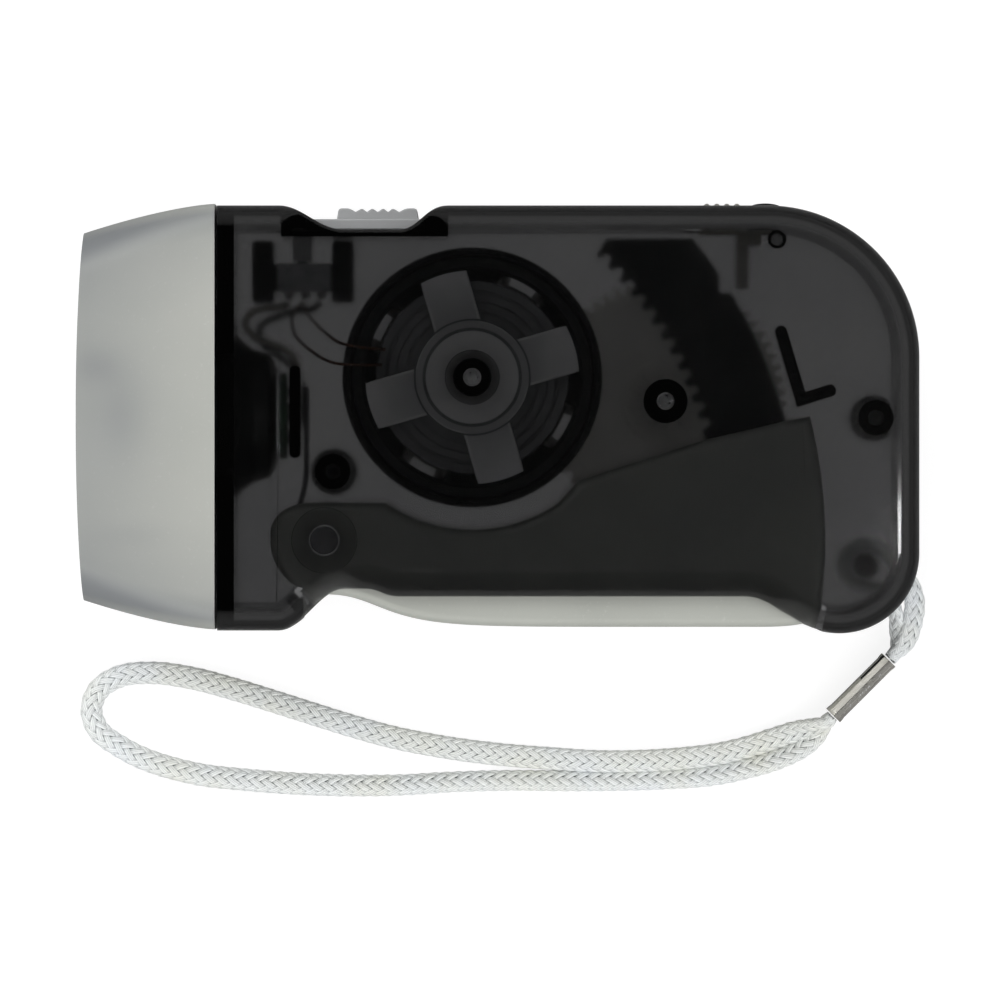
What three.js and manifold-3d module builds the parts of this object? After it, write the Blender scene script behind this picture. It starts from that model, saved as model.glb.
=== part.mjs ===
// A hand-squeezed dynamo flashlight, lying on the back face of its smoky clear housing.
// Millimetres. X runs from the lamp head (-X) to the tail, +Y is the switch side and +Z is up,
// away from the surface. The origin is the middle of the footprint.
// Squeezing the lever swings a sector with internal teeth about the pivot. The sector drives a
// pinion, whose large wheel drives the clutch gear below the flywheel of the generator.

import * as THREE from "three";
import { mergeVertices } from "three/addons/utils/BufferGeometryUtils.js";
import Module from "manifold-3d";

const wasm = await Module();
wasm.setup();

const degree = Math.PI / 180;

// Overall sizes
const overallLength = 105.1;
const overallHeight = 53.7;
const caseDepth = 26.4;
const headLength = 17.5;
const bodyLength = overallLength - headLength;

// Widths across the housing's depth, as shares of it
const depthShares = {
  well: 0.515, button: 0.303, switchBody: 0.265, latchPad: 0.341, latchPlate: 0.4165, neckHole: 0.773,
  bowlHalf: 0.3523,
};

// Clearances shared by the pieces
const seatGap = 0.3;
const pinPlay = 0.2;
const overrun = 2;
const weld = 0.2;

// Housing
const wall = 1.7;
const topStep = 0.4;
const edgeRound = 2.8;
const innerRound = 1.2;
const cornerRadius = 18.9;
const tailRadius = 10;
const tailWrapAngle = -120;
const tailShoulder = 6.9;
const windowRise = 4.6;
const cheekRise = 0.35;
const cheekLength = 7.75;
const dipRise = 0.95;
const dipReach = 7.15;
const dipRun = 2.2;
const dipEase = 4.4;
const endWall = 2.1;

// Switch recess in the top edge, measured from the joint with the head
const recessStart = 7.85;
const recessFloorStart = 15.9;
const recessFloorEnd = 22.75;
const recessEnd = 28.9;
const recessDepth = 3.05;
const wellDepth = 0.15;
const wellWidth = depthShares.well * caseDepth;
const wellFloor = 0.7;
const wellWall = 0.75;

// Places of the axes, from the joint with the head and from the lower and upper edge, and the
// lever's reach from the pivot, as shares of the body's length and height
const axisShares = {
  pivotAlong: 0.1541, pivotUp: 0.216, rotorAlong: 0.3642, rotorDown: 0.3985, reach: 0.7123,
};
const pivotFromJoint = axisShares.pivotAlong * bodyLength;
const pivotFromBottom = axisShares.pivotUp * overallHeight;
const rotorFromJoint = axisShares.rotorAlong * bodyLength;
const rotorFromTop = axisShares.rotorDown * overallHeight;
const leverReach = axisShares.reach * bodyLength;

// Gear train, its modules and the sector's rim as shares of the lever's reach
const toothShares = { sector: 0.01122, train: 0.00801, rim: 0.147 };
const sectorModule = toothShares.sector * leverReach;
const sectorTeeth = 142;
const pinionTeeth = 11;
const trainModule = toothShares.train * leverReach;
const wheelTeeth = 60;
const clutchTeeth = 37;
const pressureAngle = 20;
const backlash = 0.14;
const sectorToothFrom = 14.8;
const sectorToothTo = 46.9;
const sectorRim = toothShares.rim * leverReach;

// Stack of the moving pieces, from the back wall to the front wall, as shares of the way between
const innerDepth = caseDepth - 2 * wall;
const leverPlay = 0.6;
const leverWall = 1.6;
const stackShares = {
  wheelLift: 0.0565, wheelFace: 0.113, sectorLift: 0.035, sectorFace: 0.174, flywheelLift: 0.0435,
  flywheelFloor: 0.0696, flywheelHeight: 0.365, statorRise: 0.061, claw: 0.2174,
};
const wheelLift = stackShares.wheelLift * innerDepth;
const wheelFace = stackShares.wheelFace * innerDepth;
const sectorLift = stackShares.sectorLift * innerDepth;
const sectorFace = stackShares.sectorFace * innerDepth;
const pinionOverlap = 0.3;
const flywheelLift = stackShares.flywheelLift * innerDepth;
const flywheelFloor = stackShares.flywheelFloor * innerDepth;
const flywheelHeight = stackShares.flywheelHeight * innerDepth;
const statorRise = stackShares.statorRise * innerDepth;

// Steel pins
const pivotPinRadius = 1.75;
const gearPinRadius = 0.9;
const shaftRadius = 0.95;
const pinSink = 0.9;

// Bosses of the housing
const pivotPadRadius = 4.1;
const rotorBossRadius = 3.4;
const axleBossRadius = 2.75;
const spigotRadius = 2.2;
const screwBossRadius = 2.2;
const screwWellRadius = 2.9;

// Lever
const heelShare = 0.582;
const heelRadius = heelShare * pivotFromBottom;
const leverTail = -8.3;
const leverTopShare = 0.2468;
const leverTop = leverTopShare * leverReach;
const leverLift = 0.8;
const leverBelly = pivotFromBottom - leverLift;
const leverNeck = 8;
const leverEdgeRound = 1.2;

// Generator
const flywheelShare = 0.3017;
const flywheelRadius = flywheelShare * overallHeight;
const leverRotorPlay = 2.8;
const leverRotorGap = flywheelRadius + leverRotorPlay;
const flywheelRim = 0.9;
const magnetThickness = 1.3;
const airGap = 0.4;
const clawThickness = 1;
const clawWidth = 6;
const clawCount = 4;
const clawTurn = 16;
const clawHubRadius = 7.1;

// Lanyard
const cordRadius = 1.05;
const crimpLength = 9.9;
const crimpWidth = 2.3;
const crimpHeight = 4.2;
const crimpSheet = 0.45;
const postRadius = 1.25;
const cordHoleRadius = 1.8;

// Steps of the round forms
const curveSteps = 6;
const roundSteps = 20;
const pinSteps = 12;
const leastStep = 0.02;
const leastBend = 1e-4;

const noseX = -overallLength / 2;
const tailX = overallLength / 2;
const jointX = noseX + headLength;
const caseX = jointX + seatGap / 2;
const topY = overallHeight / 2 - topStep;
const bottomY = -overallHeight / 2;
const windowY = bottomY + windowRise;
const middleZ = caseDepth / 2;
const backZ = wall;
const frontZ = caseDepth - wall;

const pivot = new THREE.Vector2(jointX + pivotFromJoint, bottomY + pivotFromBottom);
const rotor = new THREE.Vector2(jointX + rotorFromJoint, topY - rotorFromTop);
const sectorPitch = (sectorModule * sectorTeeth) / 2;
const sectorTip = sectorPitch - 0.65 * sectorModule;
const sectorOuter = sectorPitch + sectorRim + sectorModule;
const pinionDistance = (sectorModule * (sectorTeeth - pinionTeeth)) / 2;
const trainDistance = (trainModule * (wheelTeeth + clutchTeeth)) / 2;
const axle = meetingPoint(pivot, pinionDistance, rotor, trainDistance);

const leverBack = backZ + leverPlay;
const leverFront = frontZ - leverPlay;
const wheelBack = leverBack + leverWall + wheelLift;
const wheelFront = wheelBack + wheelFace;
const sectorBack = wheelFront + sectorLift;
const sectorFront = sectorBack + sectorFace;
const flywheelBack = sectorFront + flywheelLift;
const flywheelInside = flywheelBack + flywheelFloor;
const flywheelFront = flywheelBack + flywheelHeight;
const clawRadius = flywheelRadius - flywheelRim - seatGap - magnetThickness - airGap;
const statorBack = flywheelInside + 2 * seatGap;

// The point right of the line from a to b that lies at reachA from a and at reachB from b.
function meetingPoint(a, reachA, b, reachB) {
  const between = b.clone().sub(a);
  const span = between.length();
  const along = (reachA ** 2 - reachB ** 2 + span ** 2) / (2 * span);
  const aside = Math.sqrt(reachA ** 2 - along ** 2);
  const forward = between.clone().divideScalar(span);
  const right = new THREE.Vector2(forward.y, -forward.x);
  return a.clone().addScaledVector(forward, along).addScaledVector(right, aside);
}

// Solids and their helpers

function solidOf(geometry) {
  const bare = geometry.clone();
  bare.deleteAttribute("normal");
  bare.deleteAttribute("uv");
  const merged = mergeVertices(bare, 1e-4);
  const triangles = [];
  const index = merged.index.array;
  for (let i = 0; i < index.length; i += 3) {
    const [a, b, c] = [index[i], index[i + 1], index[i + 2]];
    if (a !== b && b !== c && c !== a) triangles.push(a, b, c);
  }
  return new wasm.Manifold(
    new wasm.Mesh({
      numProp: 3,
      vertProperties: merged.attributes.position.array,
      triVerts: new Uint32Array(triangles),
    }),
  );
}

function join(...geometries) {
  return geometries.map(solidOf).reduce((whole, piece) => whole.add(piece));
}

function cut(whole, ...geometries) {
  return geometries.map(solidOf).reduce((left, piece) => left.subtract(piece), whole);
}

function geometryOf(solid) {
  const mesh = solid.getMesh();
  const geometry = new THREE.BufferGeometry();
  geometry.setAttribute("position", new THREE.BufferAttribute(mesh.vertProperties, 3));
  geometry.setIndex(new THREE.BufferAttribute(mesh.triVerts, 1));
  return geometry;
}

// The outline in straight steps, without tiny ones and without points on a straight line.
function stepped(shape, steps) {
  const points = shape.getPoints(steps);
  const apart = points.filter((p, i) => i === 0 || p.distanceTo(points[i - 1]) > leastStep);
  if (apart[0].distanceTo(apart.at(-1)) < leastStep) apart.pop();
  const bent = apart.filter((p, i) => {
    const before = p.clone().sub(apart.at(i - 1)).normalize();
    const after = apart[(i + 1) % apart.length].clone().sub(p).normalize();
    return Math.abs(before.cross(after)) > leastBend;
  });
  return new THREE.Shape(bent);
}

function prism(shape, low, high, steps = curveSteps) {
  const options = { depth: high - low, bevelEnabled: false };
  return new THREE.ExtrudeGeometry(stepped(shape, steps), options).translate(0, 0, low);
}

// A prism whose long edges are rounded and whose outline lies inset inside the shape.
function roundedPrism(shape, low, high, round, inset, steps, roundCount) {
  const options = {
    depth: high - low - 2 * round,
    bevelEnabled: true,
    bevelThickness: round,
    bevelSize: round,
    bevelOffset: -round - inset,
    bevelSegments: roundCount,
  };
  return new THREE.ExtrudeGeometry(stepped(shape, steps), options).translate(0, 0, low + round);
}

function disc(radius, low, high, x = 0, y = 0, steps = roundSteps) {
  const geometry = new THREE.CylinderGeometry(radius, radius, high - low, steps);
  return geometry.rotateX(Math.PI / 2).translate(x, y, (low + high) / 2);
}

function taperedDisc(lowRadius, highRadius, low, high, x = 0, y = 0, steps = roundSteps) {
  const geometry = new THREE.CylinderGeometry(highRadius, lowRadius, high - low, steps);
  return geometry.rotateX(Math.PI / 2).translate(x, y, (low + high) / 2);
}

function block(x0, x1, y0, y1, z0, z1) {
  const geometry = new THREE.BoxGeometry(x1 - x0, y1 - y0, z1 - z0);
  return geometry.translate((x0 + x1) / 2, (y0 + y1) / 2, (z0 + z1) / 2);
}

// A closed profile of [radius, height] pairs turned about Z.
function revolve(profile, steps = roundSteps) {
  let area = 0;
  profile.forEach(([r, z], i) => {
    const [nextR, nextZ] = profile[(i + 1) % profile.length];
    area += r * nextZ - nextR * z;
  });
  const ordered = area > 0 ? profile : [...profile].reverse();
  const points = ordered.map(([r, z]) => new THREE.Vector2(r, z));
  if (profile[0][0] > 0) points.push(points[0].clone());
  return new THREE.LatheGeometry(points, steps).rotateX(Math.PI / 2);
}

// A closed skin over rings of points, each ring closed and with the same count.
function loft(rings) {
  const count = rings[0].length;
  const positions = rings.flat().flatMap((p) => [p.x, p.y, p.z]);
  const triangles = [];
  for (let r = 0; r + 1 < rings.length; r++) {
    for (let i = 0; i < count; i++) {
      const a = r * count + i;
      const b = r * count + ((i + 1) % count);
      triangles.push(a, b, b + count, a, b + count, a + count);
    }
  }
  const ends = [
    [rings[0], 0, false],
    [rings.at(-1), (rings.length - 1) * count, true],
  ];
  for (const [ring, first, forward] of ends) {
    const middle = ring.reduce((sum, p) => sum.add(p), new THREE.Vector3());
    middle.divideScalar(count);
    const centre = positions.length / 3;
    positions.push(middle.x, middle.y, middle.z);
    for (let i = 0; i < count; i++) {
      const a = first + i;
      const b = first + ((i + 1) % count);
      triangles.push(centre, forward ? a : b, forward ? b : a);
    }
  }
  const geometry = new THREE.BufferGeometry();
  geometry.setAttribute("position", new THREE.Float32BufferAttribute(positions, 3));
  geometry.setIndex(triangles);
  return geometry;
}

// One tube of few sides through the points, its section carried along without twist.
function wire(points, radius, sides) {
  const tangents = points.map((p, i) => {
    const before = points[Math.max(i - 1, 0)];
    const after = points[Math.min(i + 1, points.length - 1)];
    return after.clone().sub(before).normalize();
  });
  let side = new THREE.Vector3(0, 0, 1);
  if (Math.abs(tangents[0].z) > 0.9) side = new THREE.Vector3(1, 0, 0);
  const rings = points.map((p, i) => {
    side.addScaledVector(tangents[i], -side.dot(tangents[i])).normalize();
    const other = tangents[i].clone().cross(side);
    return Array.from({ length: sides }, (_, s) => {
      const turn = (2 * Math.PI * s) / sides;
      const ring = p.clone().addScaledVector(side, radius * Math.cos(turn));
      return ring.addScaledVector(other, radius * Math.sin(turn));
    });
  });
  return loft(rings);
}

function cordTube(points, steps) {
  const section = new THREE.Shape();
  const sides = 8;
  for (let s = 0; s < sides; s++) {
    const turn = (2 * Math.PI * (s + 0.5)) / sides;
    const across = cordRadius * Math.cos(turn);
    const up = cordRadius * Math.sin(turn);
    if (s === 0) section.moveTo(across, up);
    else section.lineTo(across, up);
  }
  const extrudePath = new THREE.CatmullRomCurve3(points, false, "centripetal");
  return new THREE.ExtrudeGeometry(section, { steps, bevelEnabled: false, extrudePath });
}

function polar(radius, angle, centre = new THREE.Vector2()) {
  return new THREE.Vector2(
    centre.x + radius * Math.cos(angle * degree),
    centre.y + radius * Math.sin(angle * degree),
  );
}

function shapeOf(points) {
  return new THREE.Shape(points.map(([x, y]) => new THREE.Vector2(x, y)));
}

function matter(color, roughness, metalness, opacity = 1) {
  const options = { color, roughness, metalness, opacity, transparent: opacity < 1 };
  return new THREE.MeshStandardMaterial(options);
}

const materials = {
  smoky: matter("#2b2b2c", 0.18, 0, 0.72),
  silver: matter("#b9bcbf", 0.32, 0.55),
  clear: matter("#e8edf0", 0.05, 0, 0.3),
  reflector: matter("#c8cacc", 0.15, 0.9),
  lamp: matter("#f2f0e2", 0.2, 0, 0.8),
  board: matter("#3d5a44", 0.6, 0),
  button: matter("#a6a7a8", 0.5, 0),
  ivory: matter("#d3d0c6", 0.5, 0),
  nylon: matter("#d9d8d2", 0.45, 0),
  switchBody: matter("#8b8c8d", 0.35, 0.8),
  black: matter("#111213", 0.5, 0),
  lever: matter("#9b9ea0", 0.42, 0.2),
  steel: matter("#c9cbcc", 0.25, 0.95),
  flywheel: matter("#1d1e1f", 0.4, 0.2),
  magnet: matter("#3a3a3c", 0.7, 0.1),
  claw: matter("#8f9193", 0.35, 0.85),
  bobbin: matter("#232425", 0.6, 0),
  copper: matter("#a3592b", 0.35, 0.8),
  nickel: matter("#c4c1b8", 0.22, 0.95),
  cord: matter("#c3c9cc", 0.7, 0.1),
  lightLead: matter("#d5d2c8", 0.6, 0),
  darkLead: matter("#26262a", 0.6, 0),
};

function part(name, solid, material) {
  const geometry = solid.isBufferGeometry ? solid : geometryOf(solid);
  geometry.computeVertexNormals();
  const mesh = new THREE.Mesh(geometry, material);
  mesh.name = name;
  return mesh;
}

// The outline of the housing, run on to the left so that the joint can be cut square.
function caseOutline() {
  const left = jointX - headLength / 2;
  const cheekY = bottomY + cheekRise;
  const cheekX = jointX + cheekLength;
  const dipY = windowY + dipRise;
  const dipX = pivot.x + dipReach * 0.45;
  const dipEnd = pivot.x + dipReach + dipRun - dipEase;
  const tailCentre = new THREE.Vector2(tailX - tailRadius, bottomY + tailRadius);
  const tailPoint = polar(tailRadius, tailWrapAngle, tailCentre);
  const tangent = polar(tailShoulder * 0.43, tailWrapAngle + 90);
  const shoulderX = tailPoint.x - tailShoulder;
  const cheekEase = (dipX - cheekX) * 0.36;
  const floorY = topY - recessDepth;
  const recess = [recessStart, recessFloorStart, recessFloorEnd, recessEnd];
  const [x0, x1, x2, x3] = recess.map((x) => jointX + x);
  const s = new THREE.Shape();
  s.moveTo(left, cheekY);
  s.lineTo(cheekX, cheekY);
  s.bezierCurveTo(cheekX + cheekEase, cheekY, dipX - 1.3 * cheekEase, dipY, dipX, dipY);
  s.lineTo(dipEnd, dipY);
  s.bezierCurveTo(dipEnd + dipEase / 2, dipY, dipEnd + dipEase / 2, windowY, dipEnd + dipEase, windowY);
  s.lineTo(shoulderX, windowY);
  s.bezierCurveTo(
    shoulderX + tailShoulder * 0.4,
    windowY,
    tailPoint.x - tangent.x,
    tailPoint.y - tangent.y,
    tailPoint.x,
    tailPoint.y,
  );
  s.absarc(tailCentre.x, tailCentre.y, tailRadius, tailWrapAngle * degree, 0, false);
  s.lineTo(tailX, topY - cornerRadius);
  s.absarc(tailX - cornerRadius, topY - cornerRadius, cornerRadius, 0, Math.PI / 2, false);
  s.lineTo(x3, topY);
  s.bezierCurveTo(x3 - (x3 - x2) * 0.45, topY, x2 + (x3 - x2) * 0.41, floorY, x2, floorY);
  s.lineTo(x1, floorY);
  s.bezierCurveTo(x1 - (x1 - x0) * 0.38, floorY, x0 + (x1 - x0) * 0.34, topY, x0, topY);
  s.lineTo(left, topY);
  return s;
}

const wellX = [jointX + recessStart + 0.34 * recessDepth, jointX + recessEnd - wellWall];
const wellY = topY - recessDepth - wellDepth;
const wellZ = [middleZ - wellWidth / 2, middleZ + wellWidth / 2];

// Sizes of the sliding pieces, used by the housing's openings too
const buttonTravel = 2;
const armWidth = 2.4;
const armDepth = 5;
const armFromJoint = 10.6;
const armX = jointX + armFromJoint;
const latchTravel = 1.6;
const latchShare = 0.6918;
const latchPadStart = latchShare * bodyLength;
const latchPadLength = 5;
const latchPadDepth = depthShares.latchPad * caseDepth;
const latchPlateStart = latchPadStart - seatGap;
const latchPlateLength = 10.2;
const latchPlateDepth = depthShares.latchPlate * caseDepth;
const latchPlateThickness = 1.3;
const latchSlotGap = 0.4;
const guardStart = latchPadStart + latchPadLength + 2 * latchSlotGap;
const guardLength = 4.3;
const latchBarFromPad = 4.4;
const latchBarX = latchPadStart + latchBarFromPad;
const latchBarThickness = 1.5;
const latchBarDrop = 6.9;
const latchPlateTop = topY - wall - seatGap;
const latchPlateBottom = latchPlateTop - latchPlateThickness;

const screwFromTail = 5.45;
const postFromTail = 6.3;
const postFromBottom = 8.35;
const screwShares = { along: 0.1661, down: 0.6173, tailDown: 0.4926 };
const screwA = new THREE.Vector2(
  jointX + screwShares.along * bodyLength, topY - screwShares.down * overallHeight,
);
const screwB = new THREE.Vector2(tailX - screwFromTail, topY - screwShares.tailDown * overallHeight);
const postCentre = new THREE.Vector2(tailX - postFromTail, bottomY + postFromBottom);

const switchLeft = 7.4;
const switchLength = 6.6;
const switchTop = 7.1;
const switchHeight = 3.5;
const switchDepth = depthShares.switchBody * caseDepth;
const switchPostWidth = 3.1;
const switchPostHeight = 7.6;

// Depths of posts and ribs from the back wall, as shares of the way to the front wall
const riseShares = { post: 0.578, springRib: 0.361, stopRib: 0.796, spring: 0.4565 };
const postDepth = backZ + riseShares.post * innerDepth;

const springRibShares = { left: 0.1045, low: 0.3715, high: 0.5857 };
const springRib = {
  left: springRibShares.left * bodyLength,
  width: 1.4,
  low: springRibShares.low * overallHeight,
  high: springRibShares.high * overallHeight,
};
const neckPlay = 0.4;
const neckHoleDepth = depthShares.neckHole * caseDepth;
const lampY = 0.3;

// The space that the lever sweeps between the two broad walls.
function leverSweep() {
  const reach = leverReach + 2 * seatGap;
  const sweep = new THREE.Shape();
  const left = pivot.x - heelRadius * 0.42;
  sweep.moveTo(left, pivot.y - heelRadius / 2);
  sweep.lineTo(left, bottomY - overrun);
  const low = polar(reach, -15, pivot);
  sweep.lineTo(low.x, bottomY - overrun);
  sweep.lineTo(low.x, low.y);
  sweep.absarc(pivot.x, pivot.y, reach, -15 * degree, -4 * degree, false);
  sweep.lineTo(pivot.x + reach / 2, pivot.y - heelRadius / 2);
  return sweep;
}

function caseShell() {
  const outline = caseOutline();
  const outer = solidOf(roundedPrism(outline, 0, caseDepth, edgeRound, 0, curveSteps, 4));
  const inner = solidOf(
    roundedPrism(outline, backZ, frontZ, innerRound, wall, curveSteps, 2),
  );
  const ahead = block(
    noseX - overrun, caseX + endWall, bottomY - overrun, topY + overrun, -overrun, caseDepth + overrun,
  );
  const recessFloor = wellY - wellFloor;
  const underRecess = block(
    wellX[0], wellX[1], recessFloor - recessDepth, recessFloor, backZ + innerRound, frontZ - innerRound,
  );
  const cavity = cut(inner, ahead).add(solidOf(underRecess));
  const front = block(
    noseX - overrun, caseX, bottomY - overrun, topY + overrun, -overrun, caseDepth + overrun,
  );
  const wellBlock = block(
    wellX[0] - wellWall, wellX[1] + wellWall, recessFloor, topY - wall / 2, wall / 2, caseDepth - wall / 2,
  );
  const well = block(wellX[0], wellX[1], wellY, topY + overrun, wellZ[0], wellZ[1]);
  const armSlot = block(
    armX - armWidth / 2 - buttonTravel - seatGap,
    armX + armWidth / 2 + seatGap,
    wellY - overrun,
    wellY + overrun,
    middleZ - armDepth / 2 - seatGap,
    middleZ + armDepth / 2 + seatGap,
  );
  const padLow = jointX + latchPadStart - latchTravel - latchSlotGap;
  const padHigh = jointX + latchPadStart + latchPadLength + latchSlotGap;
  const latchSlot = block(
    padLow,
    padHigh,
    topY - wall - overrun,
    topY + overrun,
    middleZ - latchPadDepth / 2 - latchSlotGap,
    middleZ + latchPadDepth / 2 + latchSlotGap,
  );
  const sweepLow = leverBack - seatGap;
  const sweepHigh = leverFront + seatGap;
  const sweep = prism(leverSweep(), sweepLow, sweepHigh, 5);
  const heel = disc(heelRadius + seatGap, sweepLow, sweepHigh, pivot.x, pivot.y, 32);
  const shell = outer.subtract(cavity);
  const guard = prism(
    latchGuard(), middleZ - latchPadDepth / 2, middleZ + latchPadDepth / 2, curveSteps,
  );
  const welled = shell.add(solidOf(wellBlock).intersect(outer)).add(solidOf(guard));
  const open = welled.subtract(neckHole(bowlRadius(bowlFromJoint) + neckPlay));
  return cut(open, front, well, armSlot, latchSlot, sweep, heel);
}

// The low hump behind the latch's slot that keeps the thumb piece from being pushed by accident.
function latchGuard() {
  const start = jointX + guardStart;
  const low = topY - wall / 2;
  const s = new THREE.Shape();
  s.moveTo(start, low);
  s.lineTo(start + guardLength * 1.15, low);
  s.quadraticCurveTo(start + guardLength, topY + topStep, start + guardLength / 2, topY + topStep);
  s.quadraticCurveTo(start + guardLength * 0.1, topY + topStep, start, topY - topStep / 2);
  return s;
}

// The round way for the reflector, flattened so that the broad walls stay whole.
function neckHole(radius) {
  const round = disc(radius, 0, headLength, 0, 0, 28);
  round.rotateY(Math.PI / 2).translate(jointX - headLength / 2, lampY, middleZ);
  const low = middleZ - neckHoleDepth / 2;
  const slab = block(noseX, jointX + headLength, bottomY, topY, low, low + neckHoleDepth);
  return solidOf(round).intersect(solidOf(slab));
}

function cordHole(from, to) {
  const run = to.clone().sub(from);
  const hole = disc(cordHoleRadius, 0, run.length(), 0, 0, pinSteps);
  hole.rotateY(Math.PI / 2);
  hole.rotateZ(Math.atan2(run.y, run.x));
  return hole.translate(from.x, from.y, cordLevel);
}

const cordLevel = 5.5;

function ribBetween(points, width, low, high) {
  const pieces = [];
  for (let i = 0; i + 1 < points.length; i++) {
    const run = points[i + 1].clone().sub(points[i]);
    const bar = block(0, run.length(), -width / 2, width / 2, low, high);
    bar.rotateZ(Math.atan2(run.y, run.x)).translate(points[i].x, points[i].y, 0);
    pieces.push(bar);
    pieces.push(disc(width / 2, low, high, points[i].x, points[i].y, 10));
  }
  const last = points.at(-1);
  pieces.push(disc(width / 2, low, high, last.x, last.y, 10));
  return join(...pieces);
}

function housingFront(shell) {
  const low = middleZ + seatGap / 2;
  const bounds = block(
    noseX - overrun, tailX + overrun, bottomY - overrun, topY + overrun, low, caseDepth + overrun,
  );
  let half = shell.intersect(solidOf(bounds));
  const roof = frontZ + weld;
  const statorTop = statorFront + seatGap;
  half = half.add(
    join(
      disc(pivotPadRadius, leverFront + seatGap, roof, pivot.x, pivot.y),
      disc(rotorBossRadius, statorTop, roof, rotor.x, rotor.y),
      disc(spigotRadius, statorBack - seatGap / 2, roof, rotor.x, rotor.y, 16),
      taperedDisc(
        axleBossRadius * 0.94, axleBossRadius, sectorFront + pinionOverlap + seatGap, roof, axle.x, axle.y,
      ),
      taperedDisc(screwBossRadius * 0.94, screwBossRadius, low, roof, screwA.x, screwA.y),
      taperedDisc(screwBossRadius * 0.94, screwBossRadius, low, roof, screwB.x, screwB.y),
      disc(locatorRadius, middleZ + latchPlateDepth / 2 + 2 * seatGap, roof, locator.x, locator.y, 12),
      block(
        jointX + springRib.left,
        jointX + springRib.left + springRib.width,
        topY - springRib.high + springRib.width / 2,
        topY - springRib.low - springRib.width / 2,
        springRibBack,
        roof,
      ),
      disc(
        springRib.width / 2,
        springRibBack,
        roof,
        jointX + springRib.left + springRib.width / 2,
        topY - springRib.low - springRib.width / 2,
        12,
      ),
    ),
  );
  half = half.add(ribBetween(stopRibPoints, stopRibWidth, stopRibBack, roof));
  const pilot = screwBossRadius * 0.36;
  return cut(
    half,
    disc(pivotPinRadius + pinPlay, leverFront, frontZ + pinSink + pinPlay, pivot.x, pivot.y),
    disc(shaftRadius + pinPlay, statorBack - overrun, frontZ + pinSink, rotor.x, rotor.y, pinSteps),
    disc(gearPinRadius + pinPlay, sectorFront, frontZ + pinSink, axle.x, axle.y, pinSteps),
    disc(pilot + pinPlay, low - overrun, frontZ - overrun, screwA.x, screwA.y, 10),
    disc(pilot + pinPlay, low - overrun, frontZ - overrun, screwB.x, screwB.y, 10),
  );
}

const locatorRadius = 1.15;
const locatorShare = 0.7974;
const locator = new THREE.Vector2(jointX + locatorShare * bodyLength, topY - 2.5 * wall);
const springRibBack = backZ + riseShares.springRib * innerDepth;
const stopRibWidth = 1.5;
const stopRibBack = backZ + riseShares.stopRib * innerDepth;
const stopRibShares = [[0.8031, 0.2933], [0.8316, 0.4507], [0.8727, 0.4292]];
const stopRibPoints = stopRibShares.map(
  ([along, down]) => new THREE.Vector2(jointX + along * bodyLength, topY - down * overallHeight),
);

function housingBack(shell) {
  const high = middleZ - seatGap / 2;
  const bounds = block(
    noseX - overrun, tailX + overrun, bottomY - overrun, topY + overrun, -overrun, high,
  );
  let half = shell.intersect(solidOf(bounds));
  const floor = backZ - weld;
  const postLeft = jointX + switchLeft - switchPostWidth;
  const postRight = jointX + switchLeft + switchLength;
  const postTop = wellY - wellFloor - seatGap;
  const postLow = postTop - switchPostHeight;
  const postSide = switchPostWidth - seatGap;
  const seatTop = topY - switchTop;
  const seatDepth = middleZ - switchDepth / 2 - seatGap;
  half = half.add(
    join(
      disc(pivotPadRadius, floor, leverBack - seatGap, pivot.x, pivot.y),
      disc(rotorBossRadius, floor, wheelBack - 2 * seatGap, rotor.x, rotor.y),
      disc(axleBossRadius, floor, wheelBack - 3 * seatGap, axle.x, axle.y),
      disc(screwWellRadius, floor, high, screwA.x, screwA.y),
      disc(screwWellRadius, floor, high, screwB.x, screwB.y),
      disc(postRadius, floor, high, postCentre.x, postCentre.y, 12),
      block(postLeft, postLeft + postSide, postLow, postTop, floor, postDepth),
      block(postRight + seatGap, postRight + switchPostWidth, postLow, postTop, floor, postDepth),
      block(
        postLeft + postSide / 2,
        postRight + switchPostWidth / 2,
        seatTop - switchHeight,
        seatTop,
        floor,
        seatDepth,
      ),
    ),
  );
  const pilot = screwBossRadius * 0.36;
  const sink = high - screwSeat;
  const holes = [screwA, screwB].flatMap((s) => [
    disc(screwHeadRadius + pinPlay, -overrun, sink, s.x, s.y),
    disc(pilot + pinPlay, -overrun, high + overrun, s.x, s.y, 10),
  ]);
  const r = postRadius;
  const holeStart = new THREE.Vector2(postCentre.x + 1.6 * r, postCentre.y - 2.4 * r);
  const holeEnd = new THREE.Vector2(tailX - 2 * r, bottomY + 1.28 * r);
  const sideStart = new THREE.Vector2(postCentre.x + 2.56 * r, postCentre.y + 0.16 * r);
  const sideEnd = new THREE.Vector2(tailX + 0.96 * r, bottomY + 4 * r);
  return cut(
    half,
    disc(pivotPinRadius + pinPlay, backZ - pinSink - pinPlay, leverBack, pivot.x, pivot.y),
    disc(shaftRadius + pinPlay, backZ - pinSink, wheelBack, rotor.x, rotor.y, pinSteps),
    disc(gearPinRadius + pinPlay, backZ - pinSink, wheelBack, axle.x, axle.y, pinSteps),
    ...holes,
    cordHole(holeStart, holeEnd),
    cordHole(sideStart, sideEnd),
  );
}

const screwSeat = 2.2;
const screwHeadRadius = 1.9;
const screwHeadHeight = 1.3;

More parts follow.
